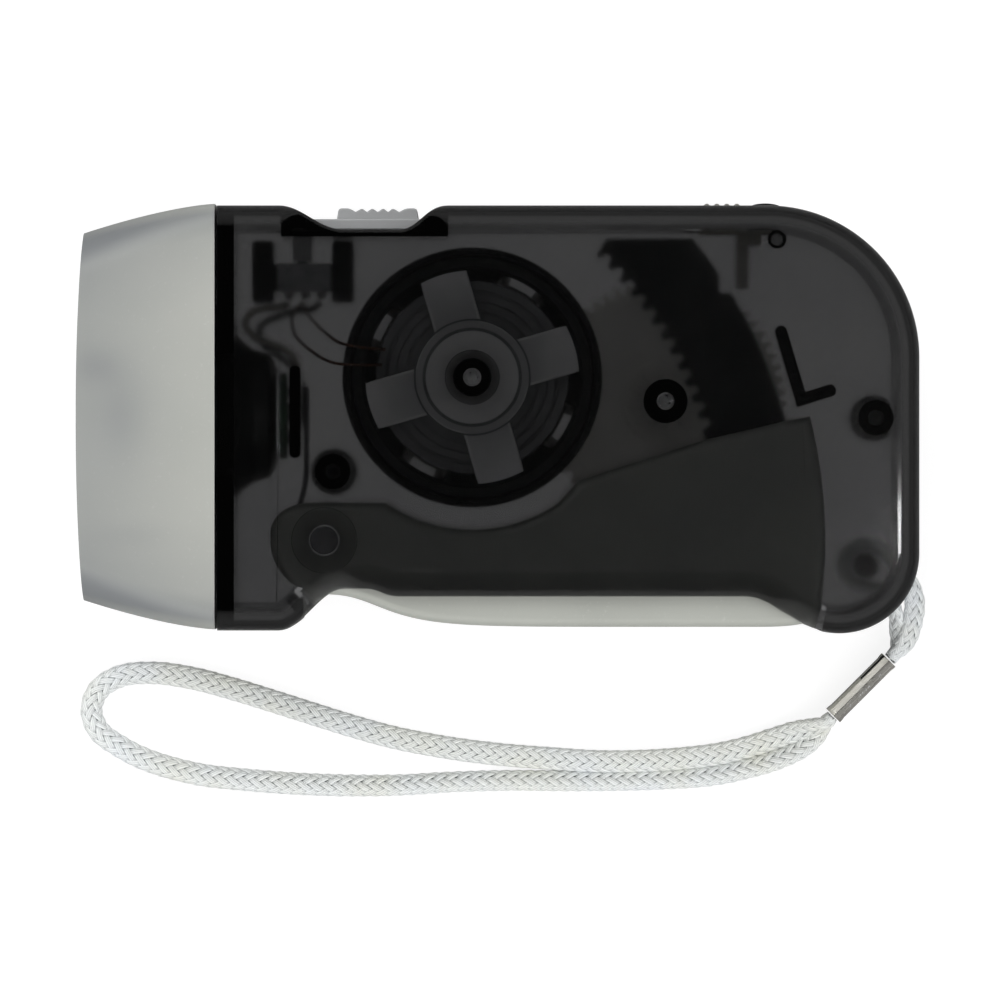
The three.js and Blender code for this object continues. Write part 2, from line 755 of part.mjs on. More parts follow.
function housingScrew(name, place) {
  const seat = middleZ - seatGap / 2 - screwSeat - seatGap;
  const shank = screwBossRadius * 0.36;
  const tip = frontZ - overrun - 2 * seatGap;
  const screw = cut(
    join(
      revolve([[0, seat - screwHeadHeight], [screwHeadRadius * 0.7, seat - screwHeadHeight],
        [screwHeadRadius, seat - screwHeadHeight * 0.6], [screwHeadRadius, seat], [0, seat]], 16),
      disc(shank, seat - weld, tip, 0, 0, 10),
    ),
    block(-screwHeadRadius * 0.7, screwHeadRadius * 0.7, -shank * 0.3, shank * 0.3,
      seat - screwHeadHeight - overrun, seat - screwHeadHeight * 0.5),
    block(-shank * 0.3, shank * 0.3, -screwHeadRadius * 0.7, screwHeadRadius * 0.7,
      seat - screwHeadHeight - overrun, seat - screwHeadHeight * 0.5),
  );
  const mesh = part(name, screw, materials.steel);
  mesh.position.set(place.x, place.y, 0);
  return mesh;
}

// Head, its ring sizes at the joint with the housing
const headHeightShare = 0.987;
const headHalfHeight = (headHeightShare * overallHeight) / 2;
const headInset = 0.1;
const headHalfDepth = caseDepth / 2 - headInset;
const headTaperY = 3.9;
const headTaperZ = 2;
const headTaperPower = 1.45;
const headBackCorner = 2.9;
const headFrontCorner = 6;
const headWall = 1.5;
const noseBow = 0.85;
const headCentreY = 0.15;
const scoopDepth = 0.75;
const scoopHalfWidth = 12;
const scoopStartShare = 0.4;
const lensSetback = 0.9;
const lensThickness = 1.2;
const broadShares = [-0.62, -0.42, -0.28, -0.14, 0, 0.14, 0.28, 0.42, 0.62];

// One ring of the head at x, a rounded rectangle whose broad sides sink in the scoop.
function headRing(x, inset, cornerCount, scooped) {
  const share = Math.max(jointX - seatGap / 2 - x, 0) / headLength;
  const drop = share ** headTaperPower;
  const halfY = headHalfHeight - headTaperY * drop - inset;
  const halfZ = headHalfDepth - headTaperZ * drop - inset;
  const corner = Math.max(
    headBackCorner + (headFrontCorner - headBackCorner) * share - inset,
    headBackCorner / 2,
  );
  const ramp = THREE.MathUtils.smoothstep(share, scoopStartShare, 1);
  const sink = (y) => {
    const across = Math.min(Math.abs(y) / scoopHalfWidth, 1);
    return scooped ? scoopDepth * ramp * Math.cos((across * Math.PI) / 2) ** 2 : 0;
  };
  const points = [];
  const place = (y, z) => points.push(new THREE.Vector3(x, headCentreY + y, middleZ + z));
  const corners = [[1, 1, 0], [-1, 1, 90], [-1, -1, 180], [1, -1, 270]];
  for (const [signY, signZ, start] of corners) {
    for (let i = 0; i <= cornerCount; i++) {
      const at = polar(corner, start + (90 * i) / cornerCount);
      place(signY * (halfY - corner) + at.x, signZ * (halfZ - corner) + at.y);
    }
    if (scooped && signY * signZ > 0) {
      for (const along of broadShares) {
        const y = -signY * along * halfY;
        place(y, signZ * (halfZ - sink(y)));
      }
    }
  }
  return points;
}

// The space behind the bowed front of the head, moved back by an offset.
function behindBow(offset, back) {
  const tall = overallHeight;
  const x = noseX + offset;
  const rise = noseBow * (tall / (2 * (headHalfHeight - headTaperY))) ** 2;
  const s = new THREE.Shape();
  s.moveTo(back, -tall / 2);
  s.lineTo(back, tall / 2);
  s.lineTo(x + rise, tall / 2);
  s.quadraticCurveTo(x - rise, 0, x + rise, -tall / 2);
  return prism(s, -overrun, caseDepth + overrun, 16);
}

function headSleeve(fromX, toX, inset, cornerCount) {
  const middle = (fromX + toX) / 2;
  const rings = [toX, middle, fromX].map((x) => headRing(x, inset, cornerCount, false).reverse());
  return solidOf(loft(rings));
}

function headBezel() {
  const backFace = jointX - seatGap / 2;
  const stations = [0, 0.2, 0.4, 0.6, 0.8, 1.03];
  const rings = stations.map((share) => headRing(backFace - share * headLength, 0, 4, true).reverse());
  const bowed = solidOf(loft(rings)).intersect(solidOf(behindBow(0, backFace + overrun)));
  const bored = bowed.subtract(headSleeve(noseX - overrun, backFace - headWall, headWall, 3));
  const hole = neckHole(bowlRadius(bowlFromJoint + headWall) + neckPlay);
  return part("head_bezel", bored.subtract(hole), materials.silver);
}

function frontLens() {
  const near = solidOf(behindBow(lensSetback, jointX));
  const far = solidOf(behindBow(lensSetback + lensThickness, jointX + overrun));
  const plug = headSleeve(noseX - overrun, jointX - headLength / 2, headWall + seatGap, 3);
  return part("front_lens", near.subtract(far).intersect(plug), materials.clear);
}

const bowlProfile = [
  [0.5, 4.6], [0.5, 5.9], [0.85, 6.8], [1.35, 7.7], [3.4, 8.3], [4.5, 9.1], [5.6, 10.2], [6.4, 11],
];
const bowlMouthRadius = 17.8;
const bowlWall = 0.9;
const bowlSquare = 19;
const bowlSlope = 11.5;
const bowlFromJoint = 7.95;
const bowlHalfDepth = depthShares.bowlHalf * caseDepth;
const flangeThickness = 1;
const bowlFront = noseX + lensSetback + lensThickness + noseBow + seatGap;
const bowlDepth = jointX + bowlFromJoint - bowlFront;

// The outer radius of the bowl between its last step and its mouth, x from its back end.
function bowlRadius(x) {
  const [stepX, stepR] = bowlProfile.at(-1);
  return THREE.MathUtils.mapLinear(x, stepX, bowlDepth, stepR, bowlMouthRadius);
}

function reflectorBody() {
  const front = bowlFront;
  const backX = jointX + bowlFromJoint;
  const depth = bowlDepth;
  const outerProfile = bowlProfile.map(([x, r]) => [r, x]);
  outerProfile.push([bowlMouthRadius, depth], [0, depth]);
  outerProfile.unshift([0, bowlProfile[0][0]]);
  const innerProfile = [[0, -overrun]];
  const bowlSteps = 7;
  const start = Math.sqrt(bowlSquare);
  innerProfile.push([start, -overrun], [start, bowlProfile[0][0]]);
  for (let i = 1; i <= bowlSteps; i++) {
    const x = (depth * i) / bowlSteps;
    innerProfile.push([Math.sqrt(bowlSquare + bowlSlope * x), x]);
  }
  innerProfile.push([Math.sqrt(bowlSquare + bowlSlope * (depth + overrun)), depth + overrun]);
  innerProfile.push([0, depth + overrun]);
  const lay = (g) => g.rotateY(-Math.PI / 2).translate(backX, lampY, middleZ);
  const slab = (half) =>
    solidOf(block(front - overrun, backX + overrun, bottomY, topY, middleZ - half, middleZ + half));
  const bowl = solidOf(lay(revolve(outerProfile, 36))).intersect(slab(bowlHalfDepth));
  const hollow = solidOf(lay(revolve(innerProfile, 36))).intersect(slab(bowlHalfDepth - bowlWall));
  const flange = headSleeve(front, front + flangeThickness, headWall + seatGap, 3);
  return part("reflector", bowl.add(flange).subtract(hollow), materials.reflector);
}

const boardThickness = 1;
const boardRadius = 5.4;
const lampRadius = 1.5;
const lampCircle = 2.25;
const lampLength = 3.6;
const lampCount = 3;
const boardFromJoint = 7.75;
const boardX = jointX + boardFromJoint;

function lampBoard() {
  const board = disc(boardRadius, 0, boardThickness, 0, 0, 24);
  board.rotateY(Math.PI / 2).translate(boardX, lampY, middleZ);
  return part("led_board", solidOf(board), materials.board);
}

function lamp(number) {
  const profile = [[0, 0], [lampRadius * 1.13, 0], [lampRadius * 1.13, lampRadius / 2]];
  profile.push([lampRadius, lampRadius / 2], [lampRadius, lampLength]);
  const steps = 4;
  for (let i = 1; i <= steps; i++) {
    const at = polar(lampRadius, (90 * i) / steps);
    profile.push([i === steps ? 0 : at.x, lampLength + at.y]);
  }
  const mesh = part(`led_${number}`, solidOf(revolve(profile, 14)), materials.lamp);
  const spot = polar(lampCircle, 90 + (360 / lampCount) * (number - 1));
  mesh.rotation.y = -Math.PI / 2;
  mesh.position.set(boardX - seatGap, lampY + spot.x, middleZ + spot.y);
  return mesh;
}

// Sliding button, measured from the joint
const buttonLength = 10.4;
const buttonStart = 15;
const buttonProud = 2.85;
const buttonDepth = depthShares.button * caseDepth;
const buttonLump = 1.75;
const buttonPlateStart = 11.1;
const buttonPlateEnd = 25.9;
const buttonPlateTop = 1.45;
const ridgeCount = 4;

// The grip seen from the front: a lump at each end and ridges between them.
function gripShape() {
  const x0 = jointX + buttonStart;
  const x1 = x0 + buttonLength;
  const floorY = topY - recessDepth;
  const top = floorY + buttonProud;
  const valley = top - 0.14 * buttonProud;
  const low = wellY + seatGap + weld;
  const lean = buttonLump * 0.15;
  const ridgeSpan = (buttonLength - 2.6 * buttonLump) / ridgeCount;
  const first = x0 + 1.3 * buttonLump;
  const s = new THREE.Shape();
  s.moveTo(x0 - lean, low);
  s.lineTo(x1 + lean, low);
  s.lineTo(x1, top - lean);
  s.quadraticCurveTo(x1, top, x1 - lean, top);
  s.lineTo(x1 - buttonLump + lean, top);
  s.quadraticCurveTo(x1 - buttonLump, top, x1 - 1.3 * buttonLump, valley);
  for (let i = ridgeCount - 1; i >= 0; i--) {
    s.lineTo(first + ridgeSpan * (i + 0.5), top - 0.05 * buttonProud);
    s.lineTo(first + ridgeSpan * i, valley);
  }
  s.quadraticCurveTo(x0 + buttonLump, top, x0 + buttonLump - lean, top);
  s.lineTo(x0 + lean, top);
  s.quadraticCurveTo(x0, top, x0, top - lean);
  return s;
}

function switchButton() {
  const plate = block(
    jointX + buttonPlateStart,
    jointX + buttonPlateEnd,
    wellY + seatGap,
    topY - recessDepth + buttonPlateTop,
    wellZ[0] + seatGap,
    wellZ[1] - seatGap,
  );
  const grip = prism(gripShape(), middleZ - buttonDepth / 2, middleZ + buttonDepth / 2, 3);
  const armLow = topY - switchTop + seatGap;
  const arm = block(
    armX - armWidth / 2, armX + armWidth / 2, armLow, wellY + seatGap + weld,
    middleZ - armDepth / 2, middleZ + armDepth / 2,
  );
  const socket = block(
    armX - nubWidth / 2 - pinPlay, armX + nubWidth / 2 + pinPlay, armLow - overrun, armLow + nubHeight,
    middleZ - nubDepth / 2 - pinPlay, middleZ + nubDepth / 2 + pinPlay,
  );
  const mesh = part("switch_button", cut(join(plate, grip, arm), socket), materials.button);
  return mesh;
}

const nubWidth = 1.2;
const nubDepth = 2.4;
const nubHeight = 1.4;

function slideSwitch() {
  const x0 = jointX + switchLeft + seatGap / 2;
  const x1 = x0 + switchLength;
  const high = topY - switchTop;
  const body = block(
    x0, x1, high - switchHeight, high, middleZ - switchDepth / 2, middleZ + switchDepth / 2,
  );
  const slot = block(
    armX - nubWidth - buttonTravel, armX + nubWidth, high - switchHeight / 2, high + overrun,
    middleZ - nubDepth / 2 - pinPlay, middleZ + nubDepth / 2 + pinPlay,
  );
  const legs = [0.2, 0.5, 0.8].map((share) =>
    block(
      x0 + share * switchLength - legWidth / 2, x0 + share * switchLength + legWidth / 2,
      high - switchHeight - legLength, high - switchHeight + weld,
      middleZ - switchDepth * 0.36, middleZ - switchDepth * 0.36 + legWidth,
    ),
  );
  return part("slide_switch_body", cut(join(body, ...legs), slot), materials.switchBody);
}

const legWidth = 0.6;
const legLength = 0.9;

function switchNub() {
  const high = topY - switchTop;
  const nub = block(
    armX - nubWidth / 2, armX + nubWidth / 2, high - switchHeight / 2 + seatGap,
    high + nubHeight - pinPlay, middleZ - nubDepth / 2, middleZ + nubDepth / 2,
  );
  return part("slide_switch_nub", solidOf(nub), materials.black);
}

function lockLatch() {
  const plateX = jointX + latchPlateStart;
  const padX = jointX + latchPadStart;
  const barX = jointX + latchBarX;
  const plate = block(
    plateX, plateX + latchPlateLength, latchPlateBottom, latchPlateTop,
    middleZ - latchPlateDepth / 2, middleZ + latchPlateDepth / 2,
  );
  const pad = block(
    padX, padX + latchPadLength, latchPlateTop - weld, topY,
    middleZ - latchPadDepth / 2, middleZ + latchPadDepth / 2,
  );
  const ribSpacing = latchPadLength / latchRibCount;
  const ribs = Array.from({ length: latchRibCount }, (_, i) => {
    const rib = new THREE.CylinderGeometry(topStep, topStep, latchPadDepth * 0.9, 10);
    rib.rotateX(Math.PI / 2);
    return rib.translate(padX + ribSpacing * (i + 0.5), topY, middleZ);
  });
  const bar = block(
    barX, barX + latchBarThickness, latchPlateBottom - latchBarDrop, latchPlateBottom + weld,
    sectorBack - seatGap, sectorFront + seatGap,
  );
  const carrier = block(
    barX, barX + latchBarThickness * 2, latchPlateBottom - latchBarThickness, latchPlateBottom + weld,
    sectorBack - seatGap, middleZ + latchPlateDepth / 2,
  );
  return part("lock_latch", join(plate, pad, ...ribs, bar, carrier), materials.ivory);
}

const latchRibCount = 4;

// Lever and sector, drawn about the pivot
const leverEarHeight = 4.65;

// Corners of the lever's upper edge as shares of its reach, the shoulder from the end of its bay
const leverShares = {
  shoulder: [0.0428, 0.0465], ridge: [0.7564, 0.1995], step: [0.9311, 0.2404], peg: 0.8894,
};
const shoulderRun = new THREE.Vector2(...leverShares.shoulder).multiplyScalar(leverReach);
const leverRidge = new THREE.Vector2(...leverShares.ridge).multiplyScalar(leverReach);
const leverStep = new THREE.Vector2(...leverShares.step).multiplyScalar(leverReach);

function leverProfile() {
  const rotorAt = rotor.clone().sub(pivot);
  const tail = polar(leverReach, leverTail);
  const top = polar(leverReach, Math.asin(leverTop / leverReach) / degree);
  const entry = Math.PI - Math.asin((leverEarHeight - rotorAt.y) / leverRotorGap);
  const exit = -56;
  const shoulder = polar(leverRotorGap, exit, rotorAt).add(shoulderRun);
  const s = new THREE.Shape();
  s.absarc(0, 0, heelRadius, -90 * degree, -180 * degree, true);
  s.lineTo(-heelRadius, leverEarHeight * 0.3);
  s.quadraticCurveTo(-heelRadius * 0.86, leverEarHeight, -heelRadius * 0.2, leverEarHeight);
  s.absarc(rotorAt.x, rotorAt.y, leverRotorGap, entry, exit * degree + 2 * Math.PI, false);
  s.lineTo(shoulder.x, shoulder.y);
  s.lineTo(leverRidge.x, leverRidge.y);
  s.lineTo(leverStep.x, leverStep.y);
  s.lineTo(top.x, top.y);
  s.absarc(0, 0, leverReach, Math.asin(leverTop / leverReach), leverTail * degree, true);
  s.quadraticCurveTo(tail.x - 0.2 * leverWall, -leverBelly, tail.x - 4.5 * leverWall, -leverBelly);
  s.lineTo(leverReach * 0.62, -leverBelly);
  s.bezierCurveTo(
    leverReach * 0.3, -leverBelly, leverNeck * 1.7, -leverBelly, leverNeck, -heelRadius * 1.3,
  );
  s.bezierCurveTo(leverNeck * 0.6, -heelRadius * 1.12, heelRadius * 0.5, -heelRadius, 0, -heelRadius);
  return s;
}

// The hollow between the webs: open above, closed by the floor, the end wall and the heel.
function leverHollow() {
  const inside = leverReach - leverWall;
  const floor = -leverBelly + leverWall;
  const heel = heelRadius - leverWall;
  const tall = overallHeight;
  const endAngle = Math.asin(-floor / inside) / degree;
  const end = polar(inside, -endAngle + 1);
  const s = new THREE.Shape();
  s.absarc(0, 0, heel, -90 * degree, -180 * degree, true);
  s.lineTo(-heelRadius - overrun, 0);
  s.lineTo(-heelRadius - overrun, tall);
  s.lineTo(end.x, tall);
  s.lineTo(polar(inside, 20).x, polar(inside, 20).y);
  s.absarc(0, 0, inside, 20 * degree, (-endAngle + 1) * degree, true);
  s.quadraticCurveTo(end.x - 0.1 * leverWall, floor, end.x - 3 * leverWall, floor);
  s.lineTo(leverReach * 0.62, floor);
  s.bezierCurveTo(
    leverReach * 0.3, floor, leverNeck * 1.75, floor, leverNeck * 1.05, -heelRadius * 1.3 + leverWall,
  );
  s.bezierCurveTo(leverNeck * 0.6, -heel * 1.15, heel * 0.5, -heel, 0, -heel);
  return s;
}

const springPlay = 0.4;
const leverHubRadius = 3.4;
const hubShares = { back: 0.2957, front: 0.113 };
const leverHubBack = hubShares.back * innerDepth;
const leverHubFront = hubShares.front * innerDepth;
const pegRadius = 1.2;
const pegCollar = 2.1;
const pegReach = leverShares.peg * leverReach;
const pegAngles = [-3.5, 4.5];

function leverCover() {
  const profile = leverProfile();
  const skin = solidOf(roundedPrism(profile, leverBack, leverFront, leverEdgeRound, 0, 5, 2));
  const hollow = prism(leverHollow(), leverBack + leverWall, leverFront - leverWall, 5);
  const pegs = pegAngles.flatMap((angle) => {
    const at = polar(pegReach, angle);
    return [
      disc(pegCollar, leverBack + leverWall - weld, sectorBack - seatGap, at.x, at.y, 14),
      disc(pegRadius, leverBack + leverWall - weld, sectorFront, at.x, at.y, 12),
    ];
  });
  const hubs = join(
    disc(leverHubRadius, leverBack + leverWall - weld, leverBack + leverWall + leverHubBack),
    disc(leverHubRadius, leverFront - leverWall - leverHubFront, leverFront - leverWall + weld),
    ...pegs,
  );
  const bore = disc(pivotPinRadius + pinPlay, 0, caseDepth);
  const mesh = part("lever_cover", cut(cut(skin, hollow).add(hubs), bore), materials.lever);
  return mesh;
}

function involuteOf(angle) {
  return Math.tan(angle) - angle;
}

// Half the angle of a tooth at a radius, in radians, from its half angle on the pitch circle.
function halfToothAngle(radius, pitch, halfAtPitch) {
  const base = pitch * Math.cos(pressureAngle * degree);
  const at = Math.acos(Math.min(base / Math.max(radius, base), 1));
  return halfAtPitch + involuteOf(pressureAngle * degree) - involuteOf(at);
}

// The outline of a spur gear with one tooth pointing along the phase angle.
function gearShape(teeth, module, phase, radii) {
  const pitch = (module * teeth) / 2;
  const halfAtPitch = Math.PI / (2 * teeth) - backlash / (4 * pitch);
  const points = [];
  for (let tooth = 0; tooth < teeth; tooth++) {
    const middle = phase * degree + (2 * Math.PI * tooth) / teeth;
    const rising = radii.map((r) => [r, middle - halfToothAngle(r, pitch, halfAtPitch)]);
    const falling = [...radii].reverse().map((r) => [r, middle + halfToothAngle(r, pitch, halfAtPitch)]);
    for (const [r, a] of [...rising, ...falling]) {
      points.push(new THREE.Vector2(r * Math.cos(a), r * Math.sin(a)));
    }
  }
  return new THREE.Shape(points);
}

const meshAngle = Math.atan2(axle.y - pivot.y, axle.x - pivot.x) / degree;
const notchDepth = 1.6;
const notchPlay = 0.5;
const sectorFoot = -6.5;

// A ring segment with teeth on its inside. Its spaces have the form of the teeth of an outside
// gear of the same count, and one space faces the pinion at rest.
function sectorShape() {
  const halfAtPitch = Math.PI / (2 * sectorTeeth) + backlash / (4 * sectorPitch);
  const root = sectorPitch + 0.95 * sectorModule;
  const pitchStep = 360 / sectorTeeth;
  const firstTooth = Math.ceil((sectorToothFrom - meshAngle) / pitchStep);
  const lastTooth = Math.floor((sectorToothTo - meshAngle) / pitchStep);
  const points = [];
  const add = (r, a) => points.push(new THREE.Vector2(r * Math.cos(a), r * Math.sin(a)));
  const arcTo = (r, from, to, count) => {
    for (let i = 0; i <= count; i++) add(r, (from + ((to - from) * i) / count) * degree);
  };
  const endAngle = meshAngle + pitchStep * (lastTooth + 0.55);
  arcTo(sectorOuter, sectorFoot, endAngle + pitchStep, 28);
  add(sectorTip, endAngle * degree);
  for (let tooth = lastTooth; tooth >= firstTooth; tooth--) {
    const middle = (meshAngle + pitchStep * tooth) * degree;
    for (const [r, sign] of [[sectorTip, 1], [root, 1], [root, -1], [sectorTip, -1]]) {
      add(r, middle + sign * halfToothAngle(r, sectorPitch, halfAtPitch));
    }
  }
  arcTo(sectorTip, meshAngle + pitchStep * (firstTooth - 0.6), sectorFoot, 5);
  return new THREE.Shape(points);
}

function sectorGear() {
  const ring = solidOf(prism(sectorShape(), sectorBack, sectorFront));
  const topLocal = latchPlateBottom - 2 * seatGap - pivot.y;
  const above = block(0, leverReach + overrun, topLocal, overallHeight * 2, 0, caseDepth);
  const barX = jointX + latchBarX - latchTravel - pivot.x;
  const barLow = latchPlateBottom - latchBarDrop - pivot.y;
  const notch = block(
    barX - notchPlay, leverReach + overrun, barLow - notchPlay, barLow + latchBarDrop, 0, caseDepth,
  );
  const floor = -leverBelly + leverWall + seatGap;
  const below = block(0, leverReach + overrun, -overallHeight, floor, 0, caseDepth);
  const holes = pegAngles.map((angle) => {
    const at = polar(pegReach, angle);
    return disc(pegRadius + pinPlay, 0, caseDepth, at.x, at.y, 12);
  });
  return part("sector_gear", cut(ring, above, notch, below, ...holes), materials.black);
}

function pivotPin() {
  const pin = disc(pivotPinRadius, backZ - pinSink, frontZ + pinSink);
  return part("lever_pivot_pin", solidOf(pin), materials.steel);
}

// Return spring, drawn about the pivot
const springRadius = 4.45;
const springWire = 0.33;
const springPitchShare = 0.0522;
const springPitch = springPitchShare * innerDepth;
const springCurls = 4;
const springStepCount = 8;
const springSides = 5;
const springBack = backZ + riseShares.spring * innerDepth;
const springGapToFloor = 0.8;

// Two straight legs tangent to the curls: one lies on the lever's floor, one on the rib.
function returnSpring() {
  const points = [];
  const turn = 360 * springCurls + 75;
  const count = Math.round((springStepCount * turn) / 360);
  const start = -90;
  const floorY = -leverBelly + leverWall + springWire + springGapToFloor;
  const ribX = jointX + springRib.left + springRib.width + seatGap + springWire - pivot.x;
  const along = leverNeck * 1.9;
  points.push(new THREE.Vector3(along, floorY, springBack));
  points.push(new THREE.Vector3(along * 0.8, floorY + springWire, springBack));
  points.push(new THREE.Vector3(along * 0.35, -springRadius * 1.08, springBack));
  for (let i = 0; i <= count; i++) {
    const angle = start - (turn * i) / count;
    const at = polar(springRadius, angle);
    points.push(new THREE.Vector3(at.x, at.y, springBack + (springPitch * turn * i) / (360 * count)));
  }
  const top = points.at(-1).z;
  points.push(new THREE.Vector3(ribX - 0.5 * springWire, springRadius * 1.6, top));
  points.push(new THREE.Vector3(ribX, springRadius * 2.5, top));
  points.push(new THREE.Vector3(ribX, springRadius * 4.3, top));
  console.log(`return spring: least gap to itself ${leastGap(points, springWire).toFixed(2)} mm`);
  return part("return_spring", solidOf(wire(points, springWire, springSides)), materials.steel);
}

// The least distance between the skins of two stretches of one tube that aren't neighbours.
function leastGap(points, radius) {
  const fine = new THREE.CatmullRomCurve3(points, false, "centripetal").getSpacedPoints(points.length * 6);
  const lengths = [0];
  for (let i = 1; i < fine.length; i++) lengths.push(lengths[i - 1] + fine[i].distanceTo(fine[i - 1]));
  let least = Infinity;
  for (let i = 0; i < fine.length; i++) {
    for (let j = i + 1; j < fine.length; j++) {
      if (lengths[j] - lengths[i] < 12 * radius) continue;
      least = Math.min(least, fine[i].distanceTo(fine[j]) - 2 * radius);
    }
  }
  return least;
}

const wheelHubRadius = 2.5;
const webRecessShare = 0.27;
const wheelWebRecess = webRecessShare * wheelFace;

function compoundGear() {
  const trainAngle = Math.atan2(rotor.y - axle.y, rotor.x - axle.x) / degree;
  const pinionPitch = (sectorModule * pinionTeeth) / 2;
  const pinionRadii = [pinionPitch - 1.2 * sectorModule, pinionPitch - 0.25 * sectorModule,
    pinionPitch + 0.2 * sectorModule, pinionPitch + 0.8 * sectorModule];
  const wheelPitch = (trainModule * wheelTeeth) / 2;
  const wheelRadii = [wheelPitch - 1.15 * trainModule, wheelPitch + 0.9 * trainModule];
  const pinionShape = gearShape(pinionTeeth, sectorModule, meshAngle, pinionRadii);
  const wheelShape = gearShape(wheelTeeth, trainModule, trainAngle, wheelRadii);
  const pinion = prism(pinionShape, wheelFront - wheelWebRecess - weld, sectorFront + pinionOverlap);
  const wheel = prism(wheelShape, wheelBack, wheelFront);
  const rimInside = wheelPitch - 4 * trainModule;
  const webInside = pinionPitch + 1.8 * sectorModule;
  const dish = revolve([[webInside, wheelFront - wheelWebRecess], [webInside, wheelFront + seatGap],
    [rimInside, wheelFront + seatGap], [rimInside, wheelFront - wheelWebRecess]], 24);
  const hub = disc(wheelHubRadius, wheelBack - 2 * seatGap, wheelBack + weld);
  const bore = disc(gearPinRadius + pinPlay, 0, caseDepth, 0, 0, pinSteps);
  const gear = cut(cut(join(pinion, wheel), dish).add(solidOf(hub)), bore);
  return part("compound_gear", gear, materials.nylon);
}

function gearPin() {
  const pin = disc(gearPinRadius, backZ - pinSink + pinPlay, frontZ + pinSink - pinPlay, 0, 0, pinSteps);
  return part("gear_pin", solidOf(pin), materials.steel);
}

const ratchetTeeth = 8;
const ratchetRadius = 3.3;
const ratchetHeight = 0.7;

function clutchGear() {
  const trainAngle = Math.atan2(axle.y - rotor.y, axle.x - rotor.x) / degree;
  const pitch = (trainModule * clutchTeeth) / 2;
  const radii = [pitch - 1.15 * trainModule, pitch + 0.9 * trainModule];
  const phase = trainAngle + 180 / clutchTeeth;
  const toothed = prism(gearShape(clutchTeeth, trainModule, phase, radii), wheelBack, wheelFront);
  const ratchet = [];
  for (let i = 0; i < ratchetTeeth; i++) {
    const angle = (360 * i) / ratchetTeeth;
    const tip = polar(ratchetRadius * 1.35, angle);
    const root = polar(ratchetRadius, angle);
    ratchet.push([root.x, root.y], [tip.x, tip.y]);
  }
  const sleeve = disc(ratchetRadius * 1.1, wheelFront - weld, sectorFront);
  const cam = prism(shapeOf(ratchet), sectorFront - weld, sectorFront + ratchetHeight);
  const bore = disc(shaftRadius + pinPlay, 0, caseDepth, 0, 0, pinSteps);
  return part("clutch_gear", cut(join(toothed, sleeve, cam), bore), materials.nylon);
}

const flywheelHub = 3.2;
const rimChamfer = 0.5;

function flywheel() {
  const inside = flywheelRadius - flywheelRim;
  const bore = shaftRadius + pinPlay;
  const hubTop = flywheelInside + seatGap;
  const profile = [
    [bore, flywheelBack],
    [flywheelRadius - rimChamfer, flywheelBack],
    [flywheelRadius, flywheelBack + rimChamfer],
    [flywheelRadius, flywheelFront - rimChamfer],
    [flywheelRadius - rimChamfer, flywheelFront],
    [inside, flywheelFront],
    [inside, flywheelInside],
    [spigotRadius - pinPlay, flywheelInside],
    [spigotRadius - pinPlay, hubTop],
    [bore, hubTop],
  ];
  return part("flywheel", solidOf(revolve(profile, 40)), materials.flywheel);
}

function ringMagnet() {
  const outer = flywheelRadius - flywheelRim - seatGap;
  const inner = outer - magnetThickness;
  const low = flywheelInside + seatGap;
  const high = flywheelFront - seatGap;
  const ring = revolve([[inner, low], [outer, low], [outer, high], [inner, high]], 32);
  return part("ring_magnet", solidOf(ring), materials.magnet);
}

function rotorShaft() {
  const shaft = disc(
    shaftRadius, backZ - pinSink + pinPlay, frontZ + pinSink - pinPlay, 0, 0, pinSteps,
  );
  return part("flywheel_shaft", solidOf(shaft), materials.steel);
}

const clawTaperShare = 0.62;
const clawLength = stackShares.claw * innerDepth;
const statorFront = flywheelFront + statorRise;

// A claw bent from the end of an arm, narrowing towards its tip.
function claw(angle, rootZ, tipZ) {
  const ringAt = (z, share) => {
    const half = ((clawWidth * share) / 2 / clawRadius) / degree;
    const inner = [-half, 0, half].map((a) => polar(clawRadius - clawThickness, angle + a));
    const outer = [half, 0, -half].map((a) => polar(clawRadius, angle + a));
    return [...inner, ...outer].map((p) => new THREE.Vector3(p.x, p.y, z));
  };
  const rings = [ringAt(rootZ, 1), ringAt(tipZ, clawTaperShare)];
  if (tipZ > rootZ) rings.forEach((ring) => ring.reverse());
  return loft(rings);
}

function clawPlate(name, turn, plateBack, plateFront, tipZ) {
  const pieces = [disc(clawHubRadius, plateBack, plateFront, 0, 0, 28)];
  const upward = tipZ > plateFront;
  for (let i = 0; i < clawCount; i++) {
    const angle = turn + (360 * i) / clawCount;
    const reach = clawRadius - clawThickness / 2;
    const arm = block(0, reach, -clawWidth / 2, clawWidth / 2, plateBack, plateFront);
    pieces.push(arm.rotateZ(angle * degree));
    pieces.push(claw(angle, upward ? plateBack : plateFront, tipZ));
  }
  const bore = disc(spigotRadius + pinPlay, 0, caseDepth, 0, 0, 16);
  return part(name, cut(join(...pieces), bore), materials.claw);
}

const bobbinFlange = 0.7;
const bobbinCore = 4.2;
const windingInset = 0.5;
const bobbinRadius = clawRadius - clawThickness - seatGap;
const bobbinBack = statorBack + clawThickness + seatGap;
const bobbinFront = statorFront - clawThickness - seatGap;

function coilBobbin() {
  const bore = spigotRadius + pinPlay;
  const profile = [
    [bore, bobbinBack],
    [bobbinRadius, bobbinBack],
    [bobbinRadius, bobbinBack + bobbinFlange],
    [bobbinCore, bobbinBack + bobbinFlange],
    [bobbinCore, bobbinFront - bobbinFlange],
    [bobbinRadius, bobbinFront - bobbinFlange],
    [bobbinRadius, bobbinFront],
    [bore, bobbinFront],
  ];
  return part("coil_bobbin", solidOf(revolve(profile, 28)), materials.bobbin);
}

